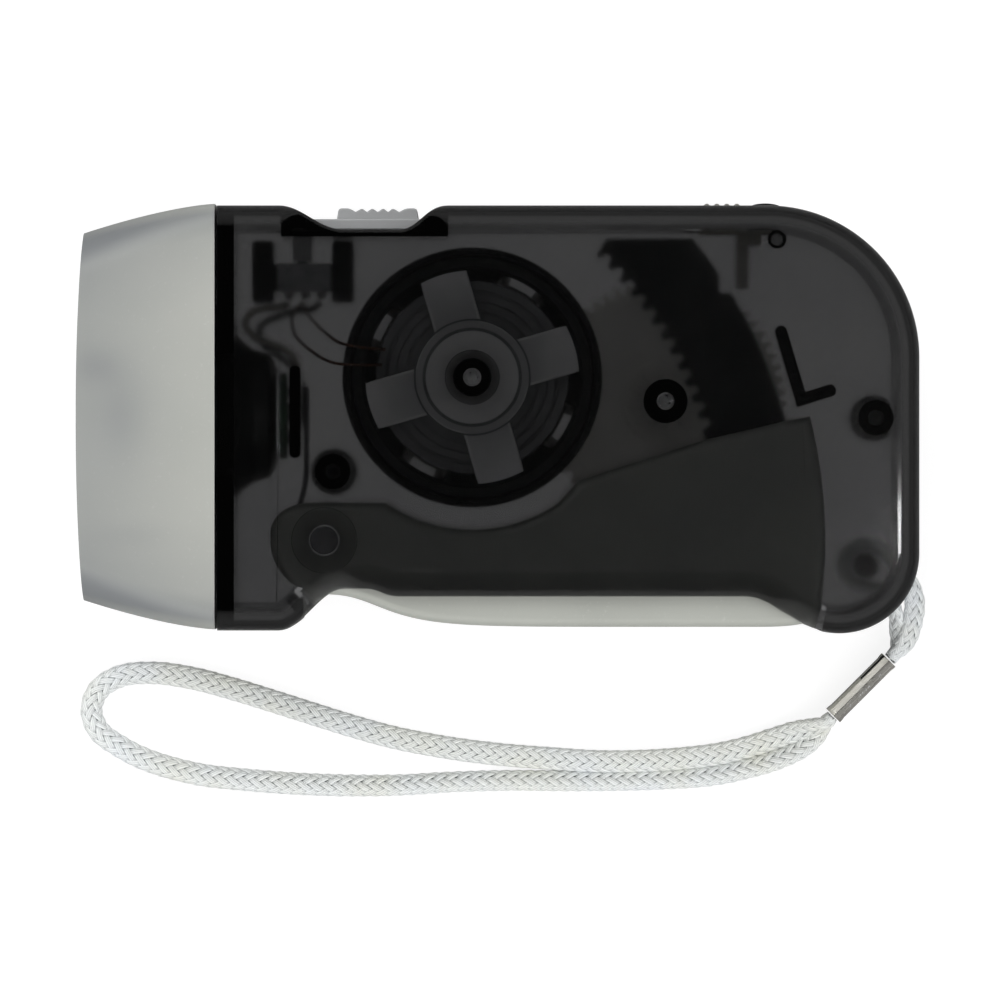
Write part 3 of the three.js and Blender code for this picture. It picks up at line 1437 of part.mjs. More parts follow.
function coilWinding() {
  const low = bobbinBack + bobbinFlange + pinPlay;
  const high = bobbinFront - bobbinFlange - pinPlay;
  const outer = bobbinRadius - windingInset;
  const inner = bobbinCore + pinPlay;
  const bulge = pinPlay;
  const ring = revolve(
    [[inner, low], [outer - bulge, low], [outer, (low + high) / 2], [outer - bulge, high], [inner, high]],
    28,
  );
  return part("coil_winding", solidOf(ring), materials.copper);
}

// Wires inside the housing
const leadRadius = 0.45;
const coilWireRadius = 0.2;
const wireSides = 6;

// A wire from the switch, where its route is measured from the joint's upper edge half way through
// the housing, to a place in whose own measure the far points are given.
function wireRun(name, route, farPoint, radius, material) {
  const near = route.near.map(([x, y, z]) => new THREE.Vector3(jointX + x, topY + y, middleZ + z));
  const points = [...near, ...route.far.map(farPoint)];
  const curve = new THREE.CatmullRomCurve3(points, false, "centripetal");
  const fine = curve.getSpacedPoints(points.length * 2 + 2);
  return part(name, solidOf(wire(fine, radius, wireSides)), material);
}

// From the middle of the lamp board.
function fromBoard([x, y, z]) {
  return new THREE.Vector3(boardX + x, lampY + y, middleZ + z);
}

// From the shaft in shares of the flywheel's radius, the height from the front claw plate.
function fromRotor([u, v, z]) {
  return new THREE.Vector3(rotor.x + flywheelRadius * u, rotor.y + flywheelRadius * v, statorFront + z);
}

const lightLeadRoute = {
  near: [
    [8.75, -11.95, -3.3], [8.15, -12.35, -3.7],
  ],
  far: [
    [-1.3, 13.6, -4.2], [-3.5, 13.1, -4.6], [-4.4, 11.5, -4.8], [-3.2, 9.9, -4.8], [-0.9, 9, -4.8],
    [1.3, 7.9, -4.6], [2.3, 5.5, -4.3], [2.2, 3.3, -4.2], [1.4, 2.3, -4.2],
  ],
};
const darkLeadRoute = {
  near: [
    [12.65, -11.95, -3.3], [12.15, -12.55, -3.8],
  ],
  far: [
    [2, 13.2, -4.8], [-0.7, 12.4, -5.8], [-2.5, 11.3, -6.2], [-2.4, 9.3, -6.3], [-0.3, 7.7, -6.2],
    [1.9, 5.7, -5.6], [2.9, 2.7, -4.8], [2.8, -0.3, -4.3], [2.1, -1.9, -4.2], [1.4, -2.2, -4.2],
  ],
};
const coilWireARoute = {
  near: [
    [10.55, -11.85, -3], [10.95, -12.85, -2], [12.15, -14.45, 1.8],
  ],
  far: [
    [-1.1144, 0.3302, -3.8], [-1.0094, 0.2623, -1.2], [-0.8551, 0.2314, -0.5], [-0.6699, 0.2129, -0.65],
  ],
};
const coilWireBRoute = {
  near: [
    [10.55, -11.95, -0.6], [9.45, -13.25, 0], [9.65, -15.85, 2.8],
  ],
  far: [
    [-1.244, 0.2067, -3.6], [-1.0773, 0.1142, -1.2], [-0.8798, 0.0956, -0.5], [-0.6946, 0.0956, -0.65],
  ],
};

// The lanyard is measured from the lower corner of the tail, its height from the surface.
// The crimp's axis runs from its upper end, near the tail, down to the wrist loop.
const crimpTop = [-3.15, -3.6];
const crimpTurn = -135;
const crimpLift = 0.05;

const eyeRoute = [
  [-2.94, -3.39, 1.1], [-2.31, -2.76, 1.15], [-2.35, -1.55, 1.8], [-2.7, 0.15, 3], [-2.8, 1.85, 4.5],
  [-3, 3.45, 5.4], [-4.05, 4.9, 5.5], [-5.65, 5.65, 5.5], [-7.65, 6, 5.5], [-8.9, 7.65, 5.5],
  [-8.6, 9.7, 5.5], [-7, 10.9, 5.5], [-4.95, 10.65, 5.5], [-3.25, 9.35, 5.5], [-1.55, 7.75, 5.5],
  [-0.15, 5.95, 5.45], [0.75, 3.75, 5.25], [0.8, 1.45, 4.8], [0.05, -0.65, 4.1], [-1.15, -2.1, 3.5],
  [-2.31, -2.76, 3.4], [-2.94, -3.39, 3.4],
];

const wristRoute = [
  [-10.36, -10.81, 3.4], [-10.99, -11.44, 3.3], [-12.25, -11.9, 2.7], [-14.41, -12.5, 1.8],
  [-17.05, -13.35, 1.2], [-21.05, -14.65, 1.05], [-25.25, -15.6, 1.05], [-32.25, -16.3, 1.05],
  [-39.75, -16.45, 1.05], [-46, -16.05, 1.05], [-52.25, -15.55, 1.05], [-58.5, -14.75, 1.05],
  [-65.45, -13.45, 1.05], [-70.95, -11.95, 1.05], [-80.35, -9, 1.05], [-85.35, -7.45, 1.05],
  [-90.95, -5.95, 1.05], [-95.95, -5.25, 1.05], [-99.95, -5.75, 1.05], [-102.55, -7.45, 1.05],
  [-103.5, -10, 1.05], [-102.65, -12.45, 1.05], [-100.45, -14.45, 1.05], [-97.15, -16.15, 1.05],
  [-90.95, -17.95, 1.05], [-84.7, -18.75, 1.05], [-74.95, -19.4, 1.05], [-65.45, -19.45, 1.05],
  [-58.5, -19.05, 1.05], [-51, -18.85, 1.05], [-43.5, -18.9, 1.05], [-37.25, -18.85, 1.05],
  [-31, -18.65, 1.05], [-25.25, -18.2, 1.05], [-20.75, -17.25, 1.05], [-17.05, -16.15, 1.05],
  [-13.95, -14.65, 1.05], [-11.85, -12.75, 1.08], [-10.99, -11.44, 1.1], [-10.36, -10.81, 1.1],
];
const eyeSteps = 26;
const wristSteps = 54;

function cord(name, route, steps) {
  const points = route.map(([x, y, z]) => new THREE.Vector3(x, y, z));
  return part(name, solidOf(cordTube(points, steps)), materials.cord);
}

// A sheet folded round both strands, its free edge leaving a slot along one side.
function crimpSleeve() {
  const bar = roundedPrism(crimpSection(0), 0, crimpLength, crimpSheet / 3, 0, 4, 1);
  const mouth = prism(crimpSection(crimpSheet), -overrun, crimpLength / 3, 4);
  const mouthFar = prism(crimpSection(crimpSheet), crimpLength * 0.67, crimpLength + overrun, 4);
  const slot = block(
    -crimpWidth, 0, crimpHeight * 0.2, crimpHeight * 0.34, -overrun, crimpLength * 0.6,
  );
  const dents = [0.28, 0.5, 0.72].map((share) =>
    block(
      crimpWidth / 2 - crimpSheet / 2, crimpWidth, -crimpHeight * 0.2, crimpHeight * 0.05,
      crimpLength * share - crimpSheet, crimpLength * share + crimpSheet,
    ),
  );
  const sleeve = cut(solidOf(bar), mouth, mouthFar, slot, ...dents);
  const geometry = geometryOf(sleeve).rotateX(Math.PI / 2).rotateZ(Math.PI / 2);
  const mesh = part("crimp_sleeve", geometry, materials.nickel);
  mesh.rotation.z = (crimpTurn + 180) * degree;
  const end = polar(crimpLength, crimpTurn);
  mesh.position.set(crimpTop[0] + end.x, crimpTop[1] + end.y, crimpHeight / 2 + crimpLift);
  return mesh;
}

function crimpSection(inset) {
  const halfWidth = crimpWidth / 2 - inset;
  const halfHeight = crimpHeight / 2 - inset;
  const corner = Math.max(crimpWidth * 0.42 - inset, inset / 2);
  const s = new THREE.Shape();
  s.absarc(halfWidth - corner, -halfHeight + corner, corner, -90 * degree, 0, false);
  s.absarc(halfWidth - corner, halfHeight - corner, corner, 0, 90 * degree, false);
  s.absarc(-halfWidth + corner, halfHeight - corner, corner, 90 * degree, 180 * degree, false);
  s.absarc(-halfWidth + corner, -halfHeight + corner, corner, 180 * degree, 270 * degree, false);
  return s;
}

function at(place, ...meshes) {
  const group = new THREE.Group();
  group.position.set(place.x, place.y, 0);
  group.add(...meshes);
  return group;
}

const shell = caseShell();
const flashlight = new THREE.Group();
flashlight.name = "flashlight";
flashlight.add(
  part("housing_front", housingFront(shell), materials.smoky),
  part("housing_back", housingBack(shell), materials.smoky),
  housingScrew("housing_screw_1", screwA),
  housingScrew("housing_screw_2", screwB),
  headBezel(),
  frontLens(),
  reflectorBody(),
  lampBoard(),
  ...Array.from({ length: lampCount }, (_, i) => lamp(i + 1)),
  switchButton(),
  slideSwitch(),
  switchNub(),
  lockLatch(),
  at(pivot, leverCover(), sectorGear(), pivotPin(), returnSpring()),
  at(axle, compoundGear(), gearPin()),
  at(
    rotor,
    clutchGear(),
    flywheel(),
    ringMagnet(),
    rotorShaft(),
    clawPlate("rear_claw_plate", clawTurn + 180 / clawCount, statorBack, statorBack + clawThickness,
      flywheelFront - seatGap),
    clawPlate("front_claw_plate", clawTurn, statorFront - clawThickness, statorFront,
      statorFront - clawThickness - clawLength),
    coilBobbin(),
    coilWinding(),
  ),
  wireRun("lead_wire_light", lightLeadRoute, fromBoard, leadRadius, materials.lightLead),
  wireRun("lead_wire_dark", darkLeadRoute, fromBoard, leadRadius, materials.darkLead),
  wireRun("coil_wire_1", coilWireARoute, fromRotor, coilWireRadius, materials.copper),
  wireRun("coil_wire_2", coilWireBRoute, fromRotor, coilWireRadius, materials.copper),
  at(
    new THREE.Vector2(tailX, bottomY),
    cord("eye_cord", eyeRoute, eyeSteps),
    cord("wrist_cord", wristRoute, wristSteps),
    crimpSleeve(),
  ),
);

export default flashlight;
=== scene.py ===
# The looks of a hand-squeezed dynamo flashlight, lying on the back face of its smoky clear
# housing, seen from straight above. Lengths in the dictionaries are millimetres.

import math

import bmesh
import bpy
import numpy as np
from mathutils import Matrix, Vector


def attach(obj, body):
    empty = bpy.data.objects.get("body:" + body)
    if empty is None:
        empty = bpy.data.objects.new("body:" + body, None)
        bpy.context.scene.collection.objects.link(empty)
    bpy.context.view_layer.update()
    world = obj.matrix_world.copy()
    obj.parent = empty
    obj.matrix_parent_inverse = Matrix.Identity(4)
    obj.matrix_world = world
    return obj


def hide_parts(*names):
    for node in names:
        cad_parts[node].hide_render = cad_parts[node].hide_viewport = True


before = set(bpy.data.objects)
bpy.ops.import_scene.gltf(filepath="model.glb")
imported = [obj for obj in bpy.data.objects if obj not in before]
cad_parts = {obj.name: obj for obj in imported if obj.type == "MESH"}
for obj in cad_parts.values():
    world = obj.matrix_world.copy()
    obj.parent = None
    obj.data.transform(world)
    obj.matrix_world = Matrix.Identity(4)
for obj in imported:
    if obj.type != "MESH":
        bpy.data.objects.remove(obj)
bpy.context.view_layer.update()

mm = 0.001


# Outlines and solids, as numpy points in millimetres and lists of faces.

# A closed outline drawn stroke by stroke. An arc is (x + r cos a, y + r sin a), a bend a cubic and
# a curve a quadratic Bezier curve: their points weighted by the powers of t and 1 - t.
class Outline:
    def __init__(self, x, y):
        self.points = [(x, y)]

    def to(self, x, y):
        self.points.append((x, y))
        return self

    def bend(self, x1, y1, x2, y2, x, y, steps=18):
        x0, y0 = self.points[-1]
        t = np.linspace(0, 1, steps + 1)[1:]
        a, b, c, d = (1 - t) ** 3, 3 * t * (1 - t) ** 2, 3 * t * t * (1 - t), t ** 3
        self.points += zip(a * x0 + b * x1 + c * x2 + d * x, a * y0 + b * y1 + c * y2 + d * y)
        return self

    def curve(self, x1, y1, x, y, steps=12):
        x0, y0 = self.points[-1]
        t = np.linspace(0, 1, steps + 1)[1:]
        a, b, c = (1 - t) ** 2, 2 * t * (1 - t), t * t
        self.points += zip(a * x0 + b * x1 + c * x, a * y0 + b * y1 + c * y)
        return self

    def arc(self, x, y, radius, start, end, steps=24):
        turns = np.radians(np.linspace(start, end, steps + 1))
        self.points += zip(x + radius * np.cos(turns), y + radius * np.sin(turns))
        return self

    def closed(self, least=0.01):
        return tidied(self.points, least)


# The points counter-clockwise, without repeated ones and those on a straight line, where the
# cross product of the steps before and after is nearly nothing.
def tidied(points, least=0.01):
    kept = []
    for p in points:
        if not kept or math.dist(p, kept[-1]) > least:
            kept.append(p)
    if math.dist(kept[0], kept[-1]) <= least:
        kept.pop()
    kept = np.array(kept)
    before = kept - np.roll(kept, 1, 0)
    after = np.roll(kept, -1, 0) - kept
    turn = before[:, 0] * after[:, 1] - before[:, 1] * after[:, 0]
    turn /= np.linalg.norm(before, axis=1) * np.linalg.norm(after, axis=1)
    kept = kept[np.abs(turn) > 1e-4]
    following = np.roll(kept, -1, 0)
    area = np.sum(kept[:, 0] * following[:, 1] - following[:, 0] * kept[:, 1])
    return kept if area > 0 else kept[::-1]


# The outline moved inwards by a distance, each corner along its mitre: the sum of the unit
# normals of its two sides over one plus their product.
def inset(points, distance):
    before = points - np.roll(points, 1, 0)
    after = np.roll(points, -1, 0) - points
    before /= np.linalg.norm(before, axis=1)[:, None]
    after /= np.linalg.norm(after, axis=1)[:, None]
    first = np.stack([-before[:, 1], before[:, 0]], 1)
    second = np.stack([-after[:, 1], after[:, 0]], 1)
    share = np.maximum(1 + np.sum(first * second, 1), 0.3)
    return points + np.reshape(distance, (-1, 1)) * (first + second) / share[:, None]


# A solid over rings of as many points each: four-sided faces from ring to ring and a flat one over
# the first and the last ring.
def skin(rings):
    count = len(rings[0])
    starts = np.arange(len(rings) - 1)[:, None] * count
    here, beside = starts + np.arange(count), starts + np.roll(np.arange(count), -1)
    faces = np.stack([here, beside, beside + count, here + count], -1).reshape(-1, 4).tolist()
    last = (len(rings) - 1) * count
    faces += [list(range(count))[::-1], list(range(last, last + count))]
    return np.concatenate(rings), faces


# Flat points at height z, one height or one for each.
def atHeight(points, z):
    return np.column_stack([points, np.broadcast_to(z, len(points))])


# An outline drawn up from low to high. Its long edges are rounded by edge, one radius or one for
# each point: at angle a the ring lies edge (1 - sin a) inwards and edge (1 - cos a) up or down.
def prism(points, low, high, edge=0.0, steps=6):
    points = np.asarray(points, float)
    rings = []
    for start, way in ((low, 1), (high, -1)):
        part = [atHeight(points, start)]
        if np.any(edge):
            turns = np.linspace(0, math.pi / 2, steps + 1)
            part = [atHeight(inset(points, edge * (1 - math.sin(a))),
                             start + way * edge * (1 - math.cos(a))) for a in turns]
        rings += part if way == 1 else part[::-1]
    return skin(rings)


# A round pillar, its ends rounded by edge; top is the upper radius of a tapered one.
def disc(radius, low, high, x=0.0, y=0.0, steps=64, edge=0.0, top=None):
    turns = np.linspace(0, 2 * math.pi, steps, endpoint=False)
    ring = np.column_stack([np.cos(turns), np.sin(turns)])
    if top is None:
        solid = prism(ring * radius, low, high, edge, 3)
    else:
        solid = skin([atHeight(ring * radius, low), atHeight(ring * top, high)])
    return moved(solid, x, y)


# A block from corner to corner, its edges in plan sharp and its ends rounded by edge.
def box(x0, x1, y0, y1, z0, z1, edge=0.0):
    return prism([(x0, y0), (x1, y0), (x1, y1), (x0, y1)], z0, z1, edge, 3)


# A block whose corners in plan are quarter circles.
def roundBox(x0, x1, y0, y1, z0, z1, corner, edge):
    o = Outline(x0 + corner, y0)
    for x, y, start in ((x1 - corner, y0 + corner, -90), (x1 - corner, y1 - corner, 0),
                        (x0 + corner, y1 - corner, 90), (x0 + corner, y0 + corner, 180)):
        o.arc(x, y, corner, start, start + 90, 6)
    return prism(o.closed(), z0, z1, edge, 3)


# A closed profile of (radius, height) points turned about Z: (r cos a, r sin a, z). A point on the
# axis is one shared point, and the faces that meet there are triangles.
def revolve(profile, steps=96):
    turns = np.linspace(0, 2 * math.pi, steps, endpoint=False)
    circle = np.column_stack([np.cos(turns), np.sin(turns)])
    points, rings, start = [], [], 0
    for radius, z in profile:
        pole = radius < 1e-6
        points.append(atHeight(np.zeros((1, 2)) if pole else radius * circle, z))
        rings.append(np.full(steps, start) if pole else start + np.arange(steps))
        start += 1 if pole else steps
    faces = []
    for a, b in zip(rings, rings[1:] + rings[:1]):
        corners = np.column_stack([a, np.roll(a, -1), np.roll(b, -1), b])
        if a[0] == a[1] and b[0] == b[1]:
            continue
        if a[0] == a[1]:
            corners = corners[:, [0, 2, 3]]
        elif b[0] == b[1]:
            corners = corners[:, :3]
        faces += corners.tolist()
    return np.concatenate(points), faces


# The profile with the corners of these numbers rounded: each becomes a quadratic curve from radius
# before it to radius after it, drawn towards the corner.
def rounded(profile, corners, steps=4):
    found = []
    count = len(profile)
    for i, point in enumerate(profile):
        radius = corners.get(i, 0)
        here = np.array(point, float)
        if not radius:
            found.append(tuple(here))
            continue
        back = np.array(profile[i - 1], float) - here
        ahead = np.array(profile[(i + 1) % count], float) - here
        back /= np.linalg.norm(back)
        ahead /= np.linalg.norm(ahead)
        for t in np.linspace(0, 1, steps + 1):
            start, end = here + back * radius, here + ahead * radius
            found.append(tuple((1 - t) ** 2 * start + 2 * t * (1 - t) * here + t * t * end))
    return found


# Tangent, side and other side at each point of a path. The side is carried along without twist:
# what the tangent takes of it is left out, and the rest keeps length one.
def frames(path):
    path = np.asarray(path, float)
    tangents = np.gradient(path, axis=0)
    tangents /= np.linalg.norm(tangents, axis=1)[:, None]
    side = np.array((0.0, 0.0, 1.0))
    if abs(side @ tangents[0]) > 0.9:
        side = np.array((1.0, 0.0, 0.0))
    sides = []
    for t in tangents:
        side = side - t * (side @ t)
        side /= np.linalg.norm(side)
        sides.append(side)
    sides = np.array(sides)
    return tangents, sides, np.cross(tangents, sides)


# A solid tube along a path: at each of its points the ring path + r (up cos a + aside sin a).
def tube(path, radius, sides):
    up, aside = frames(path)[1:]
    turns = np.linspace(0, 2 * math.pi, sides, endpoint=False)
    return skin(path[:, None] + up[:, None] * (radius * np.cos(turns))[:, None]
                + aside[:, None] * (radius * np.sin(turns))[:, None])


# A smooth path through the points, its steps all about as long as the spacing: a Catmull-Rom curve
# whose knots lie the root of each chord apart, cut anew at even lengths.
def smoothPath(points, spacing):
    points = np.asarray(points, float)
    padded = np.vstack([2 * points[0] - points[1], points, 2 * points[-1] - points[-2]])
    fine = []
    for i in range(1, len(padded) - 2):
        p0, p1, p2, p3 = padded[i - 1:i + 3]
        t0 = 0.0
        t1 = t0 + math.sqrt(np.linalg.norm(p1 - p0)) + 1e-9
        t2 = t1 + math.sqrt(np.linalg.norm(p2 - p1)) + 1e-9
        t3 = t2 + math.sqrt(np.linalg.norm(p3 - p2)) + 1e-9
        t = np.linspace(t1, t2, 16, endpoint=False)[:, None]
        a1 = (t1 - t) / (t1 - t0) * p0 + (t - t0) / (t1 - t0) * p1
        a2 = (t2 - t) / (t2 - t1) * p1 + (t - t1) / (t2 - t1) * p2
        a3 = (t3 - t) / (t3 - t2) * p2 + (t - t2) / (t3 - t2) * p3
        b1 = (t2 - t) / (t2 - t0) * a1 + (t - t0) / (t2 - t0) * a2
        b2 = (t3 - t) / (t3 - t1) * a2 + (t - t1) / (t3 - t1) * a3
        fine.append((t2 - t) / (t2 - t1) * b1 + (t - t1) / (t2 - t1) * b2)
    fine = np.vstack([*fine, points[-1]])
    along = np.concatenate([[0], np.cumsum(np.linalg.norm(np.diff(fine, axis=0), axis=1))])
    count = max(int(round(along[-1] / spacing)), 4)
    places = np.linspace(0, along[-1], count + 1)
    return np.column_stack([np.interp(places, along, fine[:, k]) for k in range(3)])


# The solid moved along: every point plus (x, y, z).
def moved(solid, x=0.0, y=0.0, z=0.0):
    return solid[0] + np.array((x, y, z)), solid[1]


# The solid turned about an axis through the origin, by degrees.
def turned(solid, axis, angle):
    matrix = np.array(Matrix.Rotation(math.radians(angle), 3, axis))
    return solid[0] @ matrix.T, solid[1]


# Separate solids as one list of points and faces.
def several(*solids):
    points, faces, start = [], [], 0
    for solid in solids:
        points.append(solid[0])
        faces += [tuple(i + start for i in f) for f in solid[1]]
        start += len(solid[0])
    return np.concatenate(points), faces


# A mesh in metres with its faces turned outwards.
def meshOf(name, solid):
    points, faces = solid
    mesh = bpy.data.meshes.new(name)
    mesh.from_pydata((np.asarray(points) * mm).tolist(), [], faces)
    edit = bmesh.new()
    edit.from_mesh(mesh)
    bmesh.ops.recalc_face_normals(edit, faces=edit.faces)
    edit.to_mesh(mesh)
    edit.free()
    return mesh


# One value of every vertex, face or corner of a mesh, as rows of an array.
def valuesOf(items, word, width=3):
    found = np.empty(len(items) * width)
    items.foreach_get(word, found)
    return found.reshape(-1, width)


# A new object in the scene.
def linked(name, data):
    thing = bpy.data.objects.new(name, data)
    bpy.context.scene.collection.objects.link(thing)
    return thing


# The mesh moved to a place in plan.
def put(mesh, place):
    mesh.transform(Matrix.Translation((place[0] * mm, place[1] * mm, 0)))


# The mesh of an object with its modifiers worked in.
def applied(holder):
    graph = bpy.context.evaluated_depsgraph_get()
    mesh = bpy.data.meshes.new_from_object(holder.evaluated_get(graph), depsgraph=graph)
    bpy.data.objects.remove(holder)
    return mesh


# The base joined with and cut by solids: steps are ("add" or "cut" or "keep", solids...).
def combined(base, steps):
    mesh = base if isinstance(base, bpy.types.Mesh) else meshOf("base", base)
    holder = linked("base", mesh)
    spare = []
    words = {"add": "UNION", "cut": "DIFFERENCE", "keep": "INTERSECT"}
    for word, *solids in steps:
        for solid in solids:
            other = solid if isinstance(solid, bpy.types.Mesh) else meshOf("tool", solid)
            tool = linked("tool", other)
            spare.append(tool)
            modifier = holder.modifiers.new("step", "BOOLEAN")
            modifier.operation = words[word]
            modifier.solver = "MANIFOLD"
            modifier.object = tool
    result = applied(holder)
    for tool in spare:
        bpy.data.objects.remove(tool)
    return result


# A finished object: smooth faces, sharp edges kept, on its body and in its node's place.
def piece(name, shape, body, material, nodes=(), sharp=35, bevel=0.0):
    mesh = shape if isinstance(shape, bpy.types.Mesh) else meshOf(name, shape)
    mesh.name = name
    if bevel:
        holder = linked("bevelled", mesh)
        modifier = holder.modifiers.new("edge", "BEVEL")
        modifier.width = bevel * mm
        modifier.segments = 2
        modifier.limit_method = "ANGLE"
        modifier.angle_limit = math.radians(40)
        mesh = applied(holder)
        mesh.name = name
    mesh.shade_smooth()
    mesh.set_sharp_from_angle(angle=math.radians(sharp))
    holder = linked("weighted", mesh)
    modifier = holder.modifiers.new("normals", "WEIGHTED_NORMAL")
    modifier.keep_sharp = True
    mesh = applied(holder)
    mesh.name = name
    thing = linked(name, mesh)
    mesh.materials.clear()
    for m in material if isinstance(material, (list, tuple)) else [material]:
        mesh.materials.append(m)
    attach(thing, body)
    if nodes:
        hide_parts(*nodes)
    return thing


# The camera: the photograph looks straight down, so that 1000 pixels span 124.85 mm at the
# height of the housing's front edges.

view = dict(x=0.312, y=-10.24, height=1500.0, focus=20.0, span=124.85)


def makeCamera():
    data = bpy.data.cameras.new("camera")
    data.sensor_width = 36
    data.lens = data.sensor_width * view["height"] / view["span"]
    data.clip_end = 20
    camera = linked("camera", data)
    camera.location = (view["x"] * mm, view["y"] * mm, (view["height"] + view["focus"]) * mm)
    bpy.context.scene.camera = camera


makeCamera()
print("camera made")


# Materials

# A colour written as a hex code, as linear light.
def srgb(code):
    values = [int(code[i:i + 2], 16) / 255 for i in (1, 3, 5)]
    return (*[v / 12.92 if v <= 0.04045 else ((v + 0.055) / 1.055) ** 2.4 for v in values], 1.0)


# A node with its settings and its inputs, which are values or other nodes' outputs: by name or
# number in a dictionary, or in the node's own order in a tuple.
def addNode(tree, kind, inputs=(), **settings):
    node = tree.nodes.new("ShaderNode" + kind)
    for key, value in settings.items():
        setattr(node, key, value)
    for key, value in inputs.items() if isinstance(inputs, dict) else enumerate(inputs):
        if isinstance(value, bpy.types.NodeSocket):
            tree.links.new(value, node.inputs[key])
        else:
            node.inputs[key].default_value = value
    return node


# A new material with only its output node.
def newMaterial(name):
    material = bpy.data.materials.new(name)
    material.use_nodes = True
    tree = material.node_tree
    tree.nodes.clear()
    output = addNode(tree, "OutputMaterial")
    return material, tree, output


# Thin straight marks about size millimetres apart: a noise drawn out along one direction, taken
# as 1 where it passes its middle value and 0 from width away.
def scratches(tree, place, size, angle, width=0.03):
    laid = addNode(tree, "Mapping", {"Vector": place, "Rotation": (0.0, 0.0, math.radians(angle)),
                                     "Scale": (16.0, 1.0, 1.0)}, vector_type="TEXTURE")
    laid = laid.outputs["Vector"]
    value = addNode(tree, "TexNoise", {"Vector": laid, "Scale": 1 / (size * mm), "Detail": 2.0,
                                       "Distortion": 0.2}).outputs["Fac"]
    crest = addNode(tree, "Math", (value, 0.5), operation="SUBTRACT").outputs[0]
    crest = addNode(tree, "Math", (crest,), operation="ABSOLUTE").outputs[0]
    return addNode(tree, "MapRange", (crest, 0.0, width, 1.0, 0.0)).outputs[0]


# One Principled surface. Its colour wanders between two tones in patches, its roughness
# between two values in smaller ones, dots of a third tone are the crests of a noise, and the
# bump is a grain with fine straight marks. Sizes and the bump's depth are millimetres; tint is an
# attribute of the mesh that darkens to the last tone; fixed holds what is the same all over.
def surface(name, tones, patch, gloss, grain, grainDepth, marks=0.0, marksAngle=20, metal=0.0,
            speck=0.0, tint=None, **fixed):
    material, tree, output = newMaterial(name)
    place = addNode(tree, "TexCoord").outputs["Object"]
    noises = [addNode(tree, "TexNoise", {"Vector": place, "Scale": 1 / (size * mm),
                                         "Detail": detail, "Roughness": rough}).outputs["Fac"]
              for size, detail, rough in ((grain, 4.0, 0.6), (patch, 3.0, 0.55),
                                          (grain * 2.5, 2.0, 0.7), (patch * 0.35, 4.0, 0.55))]
    height, broad, dots, gleam = noises
    share = addNode(tree, "MapRange", (broad, 0.3, 0.7, 0.0, 1.0)).outputs[0]
    layers = [(share, tones[1])]
    if speck:
        dot = addNode(tree, "MapRange", (dots, 0.62, 0.74, 0.0, 1.0)).outputs[0]
        share = addNode(tree, "Math", (dot, speck), operation="MULTIPLY").outputs[0]
        layers.append((share, tones[2]))
    if tint:
        share = addNode(tree, "Attribute", attribute_name=tint).outputs["Fac"]
        layers.append((share, tones[-1]))
    base = srgb(tones[0])
    for share, tone in layers:
        base = addNode(tree, "Mix", {0: share, 6: base, 7: srgb(tone)},
                       data_type="RGBA").outputs[2]
    rough = addNode(tree, "MapRange", (gleam, 0.3, 0.7, *gloss)).outputs[0]
    if marks:
        lines = scratches(tree, place, grain * 9, marksAngle)
        rough = addNode(tree, "Math", (lines, marks * 0.25, rough),
                        operation="MULTIPLY_ADD").outputs[0]
        height = addNode(tree, "Math", (lines, -marks, height),
                         operation="MULTIPLY_ADD").outputs[0]
    bump = addNode(tree, "Bump", {"Height": height, "Strength": 1.0, "Distance": grainDepth * mm})
    shader = addNode(tree, "BsdfPrincipled", {"Base Color": base, "Roughness": rough,
                                              "Normal": bump.outputs["Normal"], "Metallic": metal})
    for key, value in fixed.items():
        shader.inputs[key.replace("_", " ")].default_value = value
    tree.links.new(shader.outputs[0], output.inputs["Surface"])
    return material


smoky = dict(density=698.0, innerRough=0.18, outerRough=0.03)  # light lost per metre of plastic


# Clear plastic dyed grey-black: light is lost with the way through it, so walls seen on
# edge, ribs and bosses come out darker than the broad faces. Its outer faces are polished and
# its inner ones fine matt, so what lies deep behind them blurs.
def smokyPlastic():
    material = surface("smoky_plastic", ("#f4f4f6", "#ffffff"), 22, (0.0, 0.02), 6, 0.003,
                       0.05, 35, IOR=1.53, Transmission_Weight=1.0)
    tree = material.node_tree
    shader = next(n for n in tree.nodes if n.type == "BSDF_PRINCIPLED")
    inside = addNode(tree, "Attribute", attribute_name="inside").outputs["Fac"]
    level = addNode(tree, "MapRange", (inside, 0.0, 1.0, smoky["outerRough"],
                                       smoky["innerRough"])).outputs[0]
    wander = shader.inputs["Roughness"].links[0].from_socket
    rough = addNode(tree, "Math", (level, wander), operation="ADD").outputs[0]
    tree.links.new(rough, shader.inputs["Roughness"])
    depth = addNode(tree, "VolumeAbsorption", {"Color": (0.0, 0.0, 0.0, 1.0),
                                               "Density": smoky["density"]})
    output = next(n for n in tree.nodes if n.type == "OUTPUT_MATERIAL")
    tree.links.new(depth.outputs[0], output.inputs["Volume"])
    return material


# the plates' axis, the distances from it over which the darker grey begins and fades, and its
# shares
rootDarkening = dict(axis=(-3.146, 5.051), begins=(5.6, 6.2), fades=(7.0, 12.5), least=0.1, most=0.75,
               tone="#b4b5b6")
